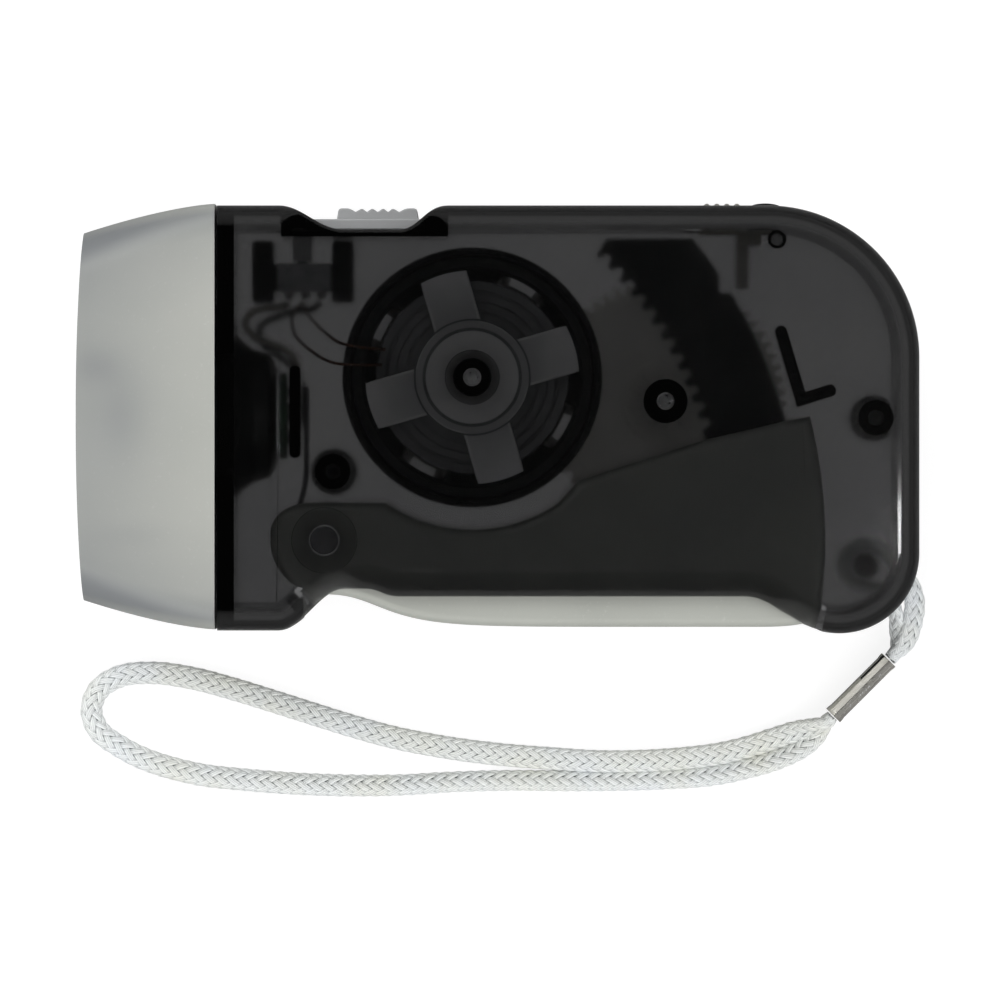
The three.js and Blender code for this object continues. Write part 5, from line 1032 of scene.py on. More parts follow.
# A rib of even width along a bent line: half circles at its ends, and at each bend two points
# half the width over cos(half the bend) away.
def ribBetween(points, width, low, high):
    points = np.array(points, float)
    o = Outline(*points[0])
    o.points = []
    runs = np.diff(points, axis=0)
    angles = np.degrees(np.arctan2(runs[:, 1], runs[:, 0]))
    o.arc(*points[0], width / 2, angles[0] + 90, angles[0] + 270, 12)
    for i in range(1, len(points) - 1):
        o.to(*polar(width / 2 / math.cos(math.radians((angles[i] - angles[i - 1]) / 2)),
                    (angles[i] + angles[i - 1]) / 2 - 90, points[i]))
    o.arc(*points[-1], width / 2, angles[-1] - 90, angles[-1] + 90, 12)
    for i in range(len(points) - 2, 0, -1):
        o.to(*polar(width / 2 / math.cos(math.radians((angles[i] - angles[i - 1]) / 2)),
                    (angles[i] + angles[i - 1]) / 2 + 90, points[i]))
    return prism(o.closed(), low, high, 0.12, 2)


# The round cuts of such rows.
def pinHoles(rows):
    return [disc(radius, start, end, *place, steps) for place, radius, start, end, steps in rows]


# The half of the shell in front of the seam, with its bosses, ribs and blind holes.
def housingFront(shell):
    low, roof = middleZ + case["seam"] / 2, frontZ + 0.2
    b = bosses
    left, width, near, far = b["springRib"]
    ribX = jointX + left + width / 2
    solids = [
        disc(b["pivotPad"], b["pivotFrom"], roof, *pivot, edge=0.1),
        disc(b["rotorPad"], b["rotorFrom"], roof, *rotor, edge=0.1),
        disc(b["spigot"], b["spigotFrom"], roof, *rotor),
        disc(b["axlePad"] * b["draft"], b["axleFrom"], roof, *axle, top=b["axlePad"]),
        *(disc(b["screwPost"] * b["draft"], low, roof, *place, top=b["screwPost"])
          for place in b["screws"]),
        disc(b["locatorPad"], b["locatorFrom"], roof, *b["locator"], edge=0.15),
        ribBetween([(ribX, topY - far + width / 2), (ribX, topY - near - width / 2)], width,
                   b["springRibBack"], roof),
        ribBetween([(jointX + x, topY - y) for x, y in b["stopRib"]], b["ribWidth"], b["ribBack"],
                   roof),
    ]
    half = combined(shell, [
        ("keep", box(noseX - 2, tailX + 2, bottomY - 2, topY + 2, low, case["depth"] + 2)),
        ("add", *solids),
        ("cut", *pinHoles(frontHoles)),
    ])
    return markInside(piece("front_shell", half, "housing", looks["smoky"],
                            ["housing_front"], 32))


# A round way for the cord from one place to another, a cylinder laid along the line.
def cordHole(start, end):
    run = math.dist(start, end)
    hole = turned(disc(bosses["cordHole"], 0, run, steps=40), "Y", 90)
    hole = turned(hole, "Z", math.degrees(math.atan2(end[1] - start[1], end[0] - start[0])))
    return moved(hole, start[0], start[1], bosses["cordHoleHigh"])


# The half of the shell behind the seam, with wells, posts, blind holes and the cord's two ways.
def housingBack(shell):
    high, floor = middleZ - case["seam"] / 2, backZ - 0.2
    b = bosses
    wellY = topY - case["recessDepth"] - case["wellDepth"]
    postTop = wellY - case["wellFloor"] - 0.3
    post = b["post"]
    wide, tall, roof = b["switchPost"]
    shelfLeft, shelfRight, shelfLow, shelfTop, shelfBack = b["shelf"]
    solids = [
        disc(b["pivotPad"], floor, b["pivotTo"], *pivot, edge=0.1),
        disc(b["rotorPad"], floor, b["rotorTo"], *rotor, edge=0.1),
        disc(b["axlePad"], floor, b["axleTo"], *axle, edge=0.1),
        *(disc(b["screwWell"], floor, high, *place) for place in b["screws"]),
        disc(b["cordPost"], floor, high, *post, edge=0.15),
        *(roundBox(jointX + x, jointX + x + wide, postTop - tall, postTop, floor, roof, 0.5, 0.3)
          for x in b["switchPosts"]),
        box(jointX + shelfLeft, jointX + shelfRight, topY - shelfLow, topY - shelfTop, floor,
            middleZ - shelfBack),
    ]
    holes = [disc(radius, start, high + end, *place, steps)
             for place in b["screws"] for radius, start, end, steps in screwHoles]
    half = combined(shell, [
        ("keep", box(noseX - 2, tailX + 2, bottomY - 2, topY + 2, -2, high)),
        ("add", *solids),
        ("cut", *pinHoles(backHoles), *holes,
         cordHole((post[0] + 2, post[1] - 3), (tailX - 2.5, bottomY + 1.6)),
         cordHole((post[0] + 3.2, post[1] + 0.2), (tailX + 1.2, bottomY + 5))),
    ])
    return markInside(piece("back_shell", half, "housing", looks["smoky"],
                            ["housing_back"], 32))


shell = caseShell()
housingFront(shell.copy())
housingBack(shell.copy())
print("housing made")


# Heights of the moving pieces above the floor, from the back wall to the front wall

stack = dict(
    lever=(2.3, 24.1), wheel=(5.2, 7.8), sector=(8.6, 12.6), flywheel=(13.6, 22.0), cup=15.2,
    stator=(15.8, 23.4),
)


# Head: a rounded oblong that narrows towards the lamps, its front bowed, with a shallow scoop

head = dict(
    halfHeight=26.5, halfDepth=13.1, taperY=3.9, taperZ=2.0, power=1.45, backCorner=2.9,
    frontCorner=6.0, wall=1.5, bow=0.85, middleY=0.15, scoop=0.75, scoopWidth=12.0,
    scoopStart=0.4, gap=0.15, edge=0.65, lensBack=0.9, lensThick=1.2, holeRadius=12.71,
)
# painted shade and reflection on the silver paint: along the head, on the roll of its broad faces,
# at its two ends (strength, start, length), and in spots (strength, x, reach, y, reach)
headPaintedShade = dict(
    ahead=0.5, aheadStart=0.5, aheadLength=15.5, aheadPower=1.15, roll=0.5, rollIn=4.2,
    rollLength=3.0, rollOut=0.4, rollFade=0.9, top=(0.27, 12, 11), low=(0.3, 13, 10),
    spots=((0.3, -46.6, 3.4, 0.3, 6.2), (0.22, -49.8, 3.0, 6.4, 2.2),
           (0.12, -45, 4.5, -14.6, 1.6)),
)


# One ring of the head at x. The half sizes fall with share**power, the share running from
# the joint to the nose; the scoop sinks by cos**2 of the way across it.
def headRing(x, deep=0.0, scooped=False, cornerSteps=12, broadSteps=48):
    h = head
    share = max(jointX - h["gap"] - x, 0) / case["head"]
    halfY = h["halfHeight"] - h["taperY"] * share ** h["power"] - deep
    halfZ = h["halfDepth"] - h["taperZ"] * share ** h["power"] - deep
    corner = max(h["backCorner"] + (h["frontCorner"] - h["backCorner"]) * share - deep,
                 h["backCorner"] / 2)
    t = min(max((share - h["scoopStart"]) / (1 - h["scoopStart"]), 0), 1)
    sink = h["scoop"] * t * t * (3 - 2 * t) if scooped else 0
    ring = []
    for signY, signZ, start in ((1, 1, 0), (-1, 1, 90), (-1, -1, 180), (1, -1, 270)):
        turns = np.radians(np.linspace(start, start + 90, cornerSteps + 1))
        ring.append(np.column_stack([signY * (halfY - corner) + corner * np.cos(turns),
                                     signZ * (halfZ - corner) + corner * np.sin(turns)]))
        if signY * signZ > 0:
            far = halfY - corner
            side = np.linspace(signY * far, -signY * far, broadSteps + 1)[1:-1]
            ring.append(atHeight(side[:, None], signZ * halfZ))
    y, z = np.concatenate(ring).T
    across = np.minimum(np.abs(y) / h["scoopWidth"], 1)
    flat = np.clip((np.abs(z) - halfZ + corner) / corner, 0, 1)
    z = z - np.copysign(sink * np.cos(across * math.pi / 2) ** 2 * flat, z)
    return np.column_stack([np.full(len(y), x), h["middleY"] + y, middleZ + z])


# The head between two places along X, deep inside its own surface.
def headBody(start, end, deep, scooped, count):
    return skin([headRing(x, deep, scooped) for x in np.linspace(start, end, count)])


# Paints shade and reflection into the head's colour at each point: a rise along the head,
# bell-shaped spots exp(-dx dx - dy dy), a band on the roll of the broad faces and a rise to either
# end.
def paintHeadShade(thing):
    s = headPaintedShade
    mesh = thing.data
    x, y = valuesOf(mesh.vertices, "co").T[:2] / mm
    share = np.clip((jointX - x) / case["head"], 0, 1)
    half = head["halfHeight"] - head["taperY"] * share ** head["power"]
    across = np.abs(y - head["middleY"])
    value = np.clip((jointX - s["aheadStart"] - x) / s["aheadLength"], 0, 1)
    value = s["ahead"] * value ** s["aheadPower"]
    for strength, spotX, reachX, spotY, reachY in s["spots"]:
        value = value + strength * np.exp(-((x - spotX) / reachX) ** 2
                                          - ((y - spotY) / reachY) ** 2)
    roll = np.clip((across - (half - s["rollIn"])) / s["rollLength"], 0, 1)
    value = value + s["roll"] * roll * np.clip((half - s["rollOut"] - across) / s["rollFade"], 0, 1)
    for height, (strength, start, length) in ((y, s["top"]), (-y, s["low"])):
        value = value + strength * np.clip((height - start) / length, 0, 1)
    value = np.clip(value, 0, 1)
    mesh.attributes.new("shade", "FLOAT", "POINT").data.foreach_set("value", value)


# Everything behind the bowed front of the head, moved back by the offset: the bow is a parabola,
# bow (y / half height)**2, drawn as a quadratic curve.
def behindBow(offset, back):
    tall = case["height"]
    x = noseX + offset
    rise = head["bow"] * (tall / (2 * (head["halfHeight"] - head["taperY"]))) ** 2
    o = Outline(back, -tall / 2).to(back, tall / 2).to(x + rise, tall / 2)
    o.curve(x - rise, 0, x + rise, -tall / 2, 48)
    return prism(o.closed(), -2, case["depth"] + 2)


# Head: the outer body less the inner one a wall deep and the way of the bowl; the lens is a slice
# of the inner one.
def makeHead():
    h = head
    back = jointX - h["gap"]
    body = combined(headBody(back, back - 1.03 * case["head"], 0, True, 56),
                    [("keep", behindBow(0, back + 2)),
                     ("cut", headBody(noseX - 2, back - h["wall"], h["wall"], False, 30),
                      neckHole(h["holeRadius"]))])
    paintHeadShade(piece("head_shell", body, "housing", looks["silver"],
                    ["head_bezel"], 32, h["edge"]))
    near = h["lensBack"]
    lens = combined(headBody(noseX - 2, jointX - case["head"] / 2, h["wall"] + 0.3, False, 30),
                    [("keep", behindBow(near, jointX)),
                     ("cut", behindBow(near + h["lensThick"], jointX + 2))])
    piece("lens_pane", lens, "housing", looks["clear"], ["front_lens"], 32, 0.12)


# Reflector: a stepped bowl, black outside and plated inside, with the lamp board behind it

bowl = dict(
    steps=((0.5, 4.6), (0.5, 5.9), (0.85, 6.8), (1.35, 7.7), (3.4, 8.3), (4.5, 9.1), (5.6, 10.2),
           (6.4, 11.0)),
    mouth=17.8, wall=0.9, square=19.0, slope=11.5, fromJoint=7.95, halfDepth=9.3, flange=1.0,
    middleY=0.3, front=-49.3, boardFromJoint=7.75, board=5.4, boardThick=1.0, lampRadius=1.5,
    lampCircle=2.25, lampLength=3.6, lampFlange=1.13, boardHole=0.35, boardHoleIn=1.1,
    boardHoles=(20, 140, 260), pads=((3.1, 105), (3.2, 250), (2.1, 30), (2.2, 185), (3.6, 320)),
    pad=((0, 1.45), (0.5, 1.3), (0.75, 0.9), (0, 0.9)),
)


# A solid turned about Z, laid down to look along -X from the back of the bowl.
def laid(solid):
    return moved(turned(solid, "Y", -90), jointX + bowl["fromJoint"], bowl["middleY"], middleZ)


# Bowl: outside stepped, inside a parabola, r = sqrt(square + slope x), both turned about X and cut
# level at the broad walls; behind it the board with its pads, in it the lamps.
def makeReflector():
    b = bowl
    back = jointX + b["fromJoint"]
    depth = back - b["front"]
    outer = [(0, b["steps"][0][0])] + [(r, x) for x, r in b["steps"]] + [(b["mouth"], depth),
                                                                        (0, depth)]
    ways = np.linspace(b["steps"][0][0], depth + 2, 28)
    inner = [(0, -2), (math.sqrt(b["square"]), -2)]
    inner += [(math.sqrt(b["square"] + b["slope"] * x), x) for x in ways] + [(0, depth + 2)]
    slabs = [box(b["front"] - 2, back + 2, bottomY, topY, middleZ - half, middleZ + half)
             for half in (b["halfDepth"], b["halfDepth"] - b["wall"])]
    hollow = combined(laid(revolve(inner)), [("keep", slabs[1])])
    flange = headBody(b["front"], b["front"] + b["flange"], head["wall"] + 0.3, False, 3)
    shape = combined(laid(revolve(rounded(outer, {3: 0.2, 4: 0.3, 5: 0.4, 7: 0.4}))),
                     [("keep", slabs[0]), ("add", flange), ("cut", hollow)])
    thing = piece("reflector_bowl", shape, "housing",
                  [looks["bowlBackAndSlotShade"], looks["plated"]], ["reflector"], 32)
    faces = thing.data.polygons
    normals = valuesOf(faces, "normal")
    away = valuesOf(faces, "center")[:, 1:] - np.array((b["middleY"] * mm, middleZ * mm))
    inward = np.sum(away * normals[:, 1:], axis=1) < -1e-5
    faces.foreach_set("material_index", np.where(inward | (normals[:, 0] < -0.7), 1, 0))
    x = jointX + b["boardFromJoint"]
    board = combined(disc(b["board"], 0, b["boardThick"], edge=0.08),
                     [("cut", *(disc(b["boardHole"], -1, 2,
                                     *polar(b["board"] - b["boardHoleIn"], a), 16)
                                for a in b["boardHoles"]))])
    board.transform(Matrix.Translation((x * mm, b["middleY"] * mm, middleZ * mm))
                    @ Matrix.Rotation(math.radians(90), 4, "Y"))
    pad = revolve(rounded(b["pad"], {1: 0.2}), 20)
    pads = [moved(turned(moved(pad, *polar(r, a)), "Y", 90), x, b["middleY"], middleZ)
            for r, a in b["pads"]]
    thing = piece("lamp_board", combined(board, [("add", *pads)]), "housing",
                  [looks["board"], looks["solder"]], ["led_board"], 32)
    faces = thing.data.polygons
    onPad = valuesOf(faces, "center")[:, 0] > (x + b["boardThick"] + 0.02) * mm
    faces.foreach_set("material_index", np.where(onPad, 1, 0))
    for k in range(3):
        r, length = b["lampRadius"], b["lampLength"]
        flange = r * b["lampFlange"]
        dome = [(0, 0), (flange, 0), (flange, r / 2), (r, r / 2), (r, length)]
        dome += [(r * math.cos(a), length + r * math.sin(a))
                 for a in np.linspace(0, math.pi / 2, 10)[1:-1]] + [(0, length + r)]
        spot = polar(b["lampCircle"], 90 + 120 * k)
        lamp = turned(revolve(dome, 40), "Y", -90)
        lamp = moved(lamp, x - 0.3, b["middleY"] + spot[0], middleZ + spot[1])
        piece(f"lamp_{k + 1}", lamp, "housing", looks["resin"], [f"led_{k + 1}"], 32)


# Switch: a ribbed button on a plate in the recess, and the slide switch that it moves

switch = dict(
    plate=(11.1, 25.9), plateTop=1.45, gripDepth=8.0, low=0.5, lumpTop=2.85, valley=2.4,
    lumps=((15.1, 16.64), (23.5, 25.05)), flare=0.3, peaks=(18.07, 19.39, 20.74, 21.99),
    valleys=(17.3, 18.72, 20.06, 21.36, 22.75), arm=(10.6, 2.4, 5.0),
    body=(7.55, 6.6, 7.1, 3.5, 7.0), nub=(1.2, 2.4, 1.4), crown=0.2, crownDrop=0.12,
    leg=0.3, legDrop=0.9, legs=(0.2, 0.5, 0.8), legBack=0.36, bead=0.62, beads=(0.2, 0.52, 0.82),
)


# The grip seen from the front: a lump at each end and four ridges between.
def gripOutline():
    s = switch
    floorY = topY - case["recessDepth"]
    top, valley = floorY + s["lumpTop"], floorY + s["valley"]
    low = floorY + s["low"]
    (a0, a1), (b0, b1) = s["lumps"]
    o = Outline(jointX + a0 - s["flare"], low).to(jointX + b1 + s["flare"], low)
    o.to(jointX + b1, top - 0.5).curve(jointX + b1 - 0.05, top, jointX + b1 - 0.5, top, 6)
    o.to(jointX + b0 + 0.4, top).curve(jointX + b0, top, jointX + s["valleys"][-1], valley, 6)
    for peak, dip in zip(s["peaks"][::-1], s["valleys"][-2::-1]):
        x, y = jointX + peak, top - s["crownDrop"]
        o.to(x + s["crown"], y).curve(x, top, x - s["crown"], y, 4)
        o.to(jointX + dip, valley)
    o.curve(jointX + a1, top, jointX + a1 - 0.4, top, 6)
    o.to(jointX + a0 + 0.5, top).curve(jointX + a0 + 0.05, top, jointX + a0, top - 0.5, 6)
    return o.closed()


# Button: plate, grip and the arm that reaches down to the switch's nub; under it the tinned case
# with its legs and beads of solder.
def makeSwitch():
    s = switch
    floorY = topY - case["recessDepth"]
    wellY = floorY - case["wellDepth"]
    half = case["wellWidth"] / 2 - 0.3
    x0, x1 = (jointX + x for x in s["plate"])
    armX, armWidth, armDepth = jointX + s["arm"][0], s["arm"][1], s["arm"][2]
    armLow = topY - s["body"][2] + 0.3
    nubWidth, nubDepth, nubHigh = s["nub"]
    plate = roundPlate(x0, x1, wellY + 0.3, floorY + s["plateTop"], half)
    grip = prism(gripOutline(), middleZ - s["gripDepth"] / 2, middleZ + s["gripDepth"] / 2, 0.2, 3)
    button = combined(plate, [
        ("add", grip, box(armX - armWidth / 2, armX + armWidth / 2, armLow, wellY + 0.5,
                          middleZ - armDepth / 2, middleZ + armDepth / 2)),
        ("cut", box(armX - nubWidth / 2 - 0.2, armX + nubWidth / 2 + 0.2, armLow - 1,
                    armLow + nubHigh, middleZ - nubDepth / 2 - 0.2, middleZ + nubDepth / 2 + 0.2))])
    piece("slide_button", button, "button", looks["button"], ["switch_button"], 40,
          0.09)
    left, length, top, tall, deep = s["body"]
    x, high = jointX + left, topY - top
    leg, behind = s["leg"], middleZ - deep * s["legBack"]
    legs = [box(x + share * length - leg, x + share * length + leg, high - tall - s["legDrop"],
                high - tall + 0.2, behind, behind + 2 * leg) for share in s["legs"]]
    points, faces = sphere(s["bead"])
    beads = [moved((points * (1.0, 0.8, 1.0), faces), x + share * length, high - tall - 0.35,
                   behind + leg) for share in s["beads"]]
    body = combined(box(x, x + length, high - tall, high, middleZ - deep / 2, middleZ + deep / 2),
                    [("cut", box(armX - nubWidth - 2, armX + nubWidth, high - tall / 2, high + 1,
                                 middleZ - nubDepth / 2 - 0.2, middleZ + nubDepth / 2 + 0.2),
                      box(x + 1.2, x + length - 1.2, high - tall + 0.7, high - 0.7,
                          middleZ + deep / 2 - 0.15, middleZ + deep)),
                     ("add", *legs, *beads)])
    piece("switch_case", body, "housing", looks["switchCase"],
          ["slide_switch_body"], 35, 0.12)
    nub = box(armX - nubWidth / 2, armX + nubWidth / 2, high - tall / 2 + 0.3, high + nubHigh - 0.2,
              middleZ - nubDepth / 2, middleZ + nubDepth / 2)
    piece("switch_slider", nub, "button", looks["black"], ["slide_switch_nub"], 35,
          0.15)


# A ball, its profile a half circle.
def sphere(radius, steps=16):
    profile = [(radius * math.cos(a), radius * math.sin(a))
               for a in np.linspace(-math.pi / 2, math.pi / 2, steps // 2 + 1)]
    profile[0], profile[-1] = (0, -radius), (0, radius)
    return revolve(profile, steps)


# A plate seen on edge: a block with rounded corners in plan, laid over so that Z becomes Y.
def roundPlate(x0, x1, y0, y1, half):
    solid = roundBox(x0, x1, -half, half, y0, y1, 0.8, 0.2)
    points = solid[0]
    return np.column_stack([points[:, 0], points[:, 2], middleZ - points[:, 1]]), solid[1]


# Lock latch: a thumb pad with ribs in the top edge, its hook hanging before the sector

latch = dict(
    pad=(60.6, 5.0, 9.0), plate=(60.3, 10.2, 11.0, 1.3), ribs=4, rib=0.42, bar=(65.0, 1.5, 6.9),
)


# Latch: a pad whose top is a row of half round ribs, the plate that guides it, and its hook.
def makeLatch():
    start, length, deep = latch["pad"]
    plateStart, plateLength, plateDeep, thick = latch["plate"]
    barStart, barThick, drop = latch["bar"]
    top = topY - case["wall"] - 0.3
    low = top - thick
    sectorLow, sectorHigh = stack["sector"][0] - 0.3, stack["sector"][1] + 0.3
    x, y = jointX + start, topY
    o = Outline(x, top - 0.2).to(x + length, top - 0.2).to(x + length, y)
    spacing = length / latch["ribs"]
    for i in reversed(range(latch["ribs"])):
        o.arc(x + spacing * (i + 0.5), y - 0.05, latch["rib"], 0, 180, 10)
    o.to(x, y)
    pad = prism(o.closed(), middleZ - deep / 2, middleZ + deep / 2, 0.3, 3)
    plateX = jointX + plateStart
    barX = jointX + barStart
    shape = combined(roundPlate(plateX, plateX + plateLength, low, top, plateDeep / 2),
                     [("add", pad,
                       box(barX, barX + barThick, low - drop, low + 0.2, sectorLow, sectorHigh),
                       box(barX, barX + 2 * barThick, low - barThick, low + 0.2, sectorLow,
                           middleZ + plateDeep / 2 - 0.4))])
    piece("latch_slide", shape, "latch", looks["ivory"], ["lock_latch"], 40, 0.12)


# Lever: a channel of two webs, open above, with the hub of its pivot and the sector's pegs

lever = dict(
    reach=62.4, heel=6.75, tail=-8.3, top=15.4, belly=10.8, neck=8.0, bay=19.0, wall=1.6, edge=1.2,
    ear=4.65, exit=-56, shoulder=(2.67, 2.9), ridge=(47.2, 12.45), step=(58.1, 15.0), hub=3.4,
    hubBack=6.8, hubFront=2.6, bore=1.95, peg=1.2, collar=2.1, pegReach=55.5,
    pegAngles=(-3.5, 4.5),
)


# The lever seen from the front, from its pivot: the heel, the ear, the bay round the generator, the
# rising shoulder, the far end on an arc about the pivot, and the belly back to the heel.
def leverOutline():
    v = lever
    rotorAt = (rotor[0] - pivot[0], rotor[1] - pivot[1])
    tail = polar(v["reach"], v["tail"])
    topAngle = math.degrees(math.asin(v["top"] / v["reach"]))
    entry = 180 - math.degrees(math.asin((v["ear"] - rotorAt[1]) / v["bay"]))
    leave = polar(v["bay"], v["exit"], rotorAt)
    o = Outline(0, -v["heel"]).arc(0, 0, v["heel"], -90, -180, 24)
    o.to(-v["heel"], v["ear"] * 0.3)
    o.curve(-v["heel"] * 0.86, v["ear"], -v["heel"] * 0.2, v["ear"], 10)
    o.arc(*rotorAt, v["bay"], entry, v["exit"] + 360, 48)
    o.to(leave[0] + v["shoulder"][0], leave[1] + v["shoulder"][1])
    o.to(*v["ridge"]).to(*v["step"]).to(*polar(v["reach"], topAngle))
    o.arc(0, 0, v["reach"], topAngle, v["tail"], 32)
    o.curve(tail[0] - 0.2 * v["wall"], -v["belly"], tail[0] - 4.5 * v["wall"], -v["belly"])
    o.to(v["reach"] * 0.62, -v["belly"])
    o.bend(v["reach"] * 0.3, -v["belly"], v["neck"] * 1.7, -v["belly"], v["neck"],
           -v["heel"] * 1.3, 24)
    o.bend(v["neck"] * 0.6, -v["heel"] * 1.12, v["heel"] * 0.5, -v["heel"], 0, -v["heel"], 12)
    return o.closed(0.05)


# Between the webs: open above, closed by the floor, the end wall and the heel.
def leverHollow():
    v = lever
    inside, floor, heel = v["reach"] - v["wall"], v["wall"] - v["belly"], v["heel"] - v["wall"]
    endAngle = 1 - math.degrees(math.asin(-floor / inside))
    end = polar(inside, endAngle)
    o = Outline(0, -heel).arc(0, 0, heel, -90, -180, 16).to(-v["heel"] - 2, 0)
    o.to(-v["heel"] - 2, 60).to(end[0], 60).to(*polar(inside, 20))
    o.arc(0, 0, inside, 20, endAngle, 24)
    o.curve(end[0] - 0.1 * v["wall"], floor, end[0] - 3 * v["wall"], floor)
    o.to(v["reach"] * 0.62, floor)
    o.bend(v["reach"] * 0.3, floor, v["neck"] * 1.75, floor, v["neck"] * 1.05,
           v["wall"] - v["heel"] * 1.3, 20)
    o.bend(v["neck"] * 0.6, -heel * 1.15, heel * 0.5, -heel, 0, -heel, 10)
    return o.closed(0.05)


# Lever: the outline with round long edges, hollowed between its webs, with hubs and pegs.
def makeLever():
    v = lever
    back, front = stack["lever"]
    inBack, inFront = back + v["wall"], front - v["wall"]
    pegs = []
    for angle in v["pegAngles"]:
        x, y = polar(v["pegReach"], angle)
        pegs += [disc(v["collar"], inBack - 0.2, stack["sector"][0] - 0.3, x, y, 40),
                 disc(v["peg"], inBack - 0.2, stack["sector"][1], x, y, 32, 0.2)]
    shape = combined(prism(leverOutline(), back, front, v["edge"], 6), [
        ("cut", prism(leverHollow(), inBack, inFront)),
        ("add", disc(v["hub"], inBack - 0.2, inBack + v["hubBack"]),
         disc(v["hub"], inFront - v["hubFront"], inFront + 0.2), *pegs),
        ("cut", disc(v["bore"], 0, case["depth"]))])
    put(shape, pivot)
    piece("squeeze_lever", shape, "lever", looks["lever"], ["lever_cover"], 32)


# Gear train

train = dict(
    sectorModule=0.7001, sectorTeeth=142, pinionTeeth=11, module=0.4998, wheelTeeth=60,
    clutchTeeth=37, pressure=20, backlash=0.14, toothFrom=14.8, toothTo=46.9, rim=9.17, foot=-6.5,
    pin=0.9, hub=2.5, web=0.7, sleeve=3.63, ratchet=3.3, ratchetTeeth=8, ratchetHeight=0.7,
    ratchetRise=0.35, clutchBore=1.15, pivotPin=1.75, rotorPin=0.95,
)


# inv(a) = tan a - a
def involute(angle):
    return np.tan(angle) - angle


# Half a tooth's angle at a radius: halfAtPitch + inv(pressure) - inv(acos(base / radius)).
def halfTooth(radius, pitch, halfAtPitch):
    pressure = math.radians(train["pressure"])
    base = pitch * math.cos(pressure)
    return halfAtPitch + involute(pressure) - involute(np.arccos(base / np.maximum(radius, base)))


# A gear's teeth, each from low modules under its pitch circle to high modules over it and back:
# the points (r cos a, r sin a) at half a tooth's angle before and after its middle.
def gearOutline(teeth, module, phase, low, high, steps=5):
    pitch = module * teeth / 2
    halfAtPitch = math.pi / (2 * teeth) - train["backlash"] / (4 * pitch)
    radii = np.linspace(pitch - low * module, pitch + high * module, steps)
    half = halfTooth(radii, pitch, halfAtPitch)
    middles = math.radians(phase) + 2 * math.pi * np.arange(teeth)[:, None] / teeth
    angles = np.hstack([middles - half, middles + half[::-1]])
    radii = np.concatenate([radii, radii[::-1]])
    points = np.stack([radii * np.cos(angles), radii * np.sin(angles)], -1)
    return tidied(points.reshape(-1, 2), 0.002)


meshAngle = math.degrees(math.atan2(axle[1] - pivot[1], axle[0] - pivot[0]))


# The sector: an outer arc about the lever's pivot, and along its inside the spaces of an internal
# gear, each shaped as a gear's tooth and wider by the backlash.
def sectorOutline():
    t = train
    pitch = t["sectorModule"] * t["sectorTeeth"] / 2
    halfAtPitch = math.pi / (2 * t["sectorTeeth"]) + t["backlash"] / (4 * pitch)
    tip, root = pitch - 0.65 * t["sectorModule"], pitch + 0.95 * t["sectorModule"]
    outer = pitch + t["rim"] + t["sectorModule"]
    step = 360 / t["sectorTeeth"]
    first = math.ceil((t["toothFrom"] - meshAngle) / step)
    last = math.floor((t["toothTo"] - meshAngle) / step)
    end = meshAngle + step * (last + 0.55)
    o = Outline(*polar(outer, t["foot"])).arc(0, 0, outer, t["foot"], end + step, 96)
    o.to(*polar(tip, end))
    flank = np.linspace(tip, root, 4)
    for k in range(last, first - 1, -1):
        middle = meshAngle + step * k
        for sign, way in ((1, flank), (-1, flank[::-1])):
            for r in way:
                o.to(*polar(r, middle + sign * math.degrees(halfTooth(r, pitch, halfAtPitch))))
    o.arc(0, 0, tip, meshAngle + step * (first - 0.6), t["foot"], 20)
    return tidied(o.points, 0.01)


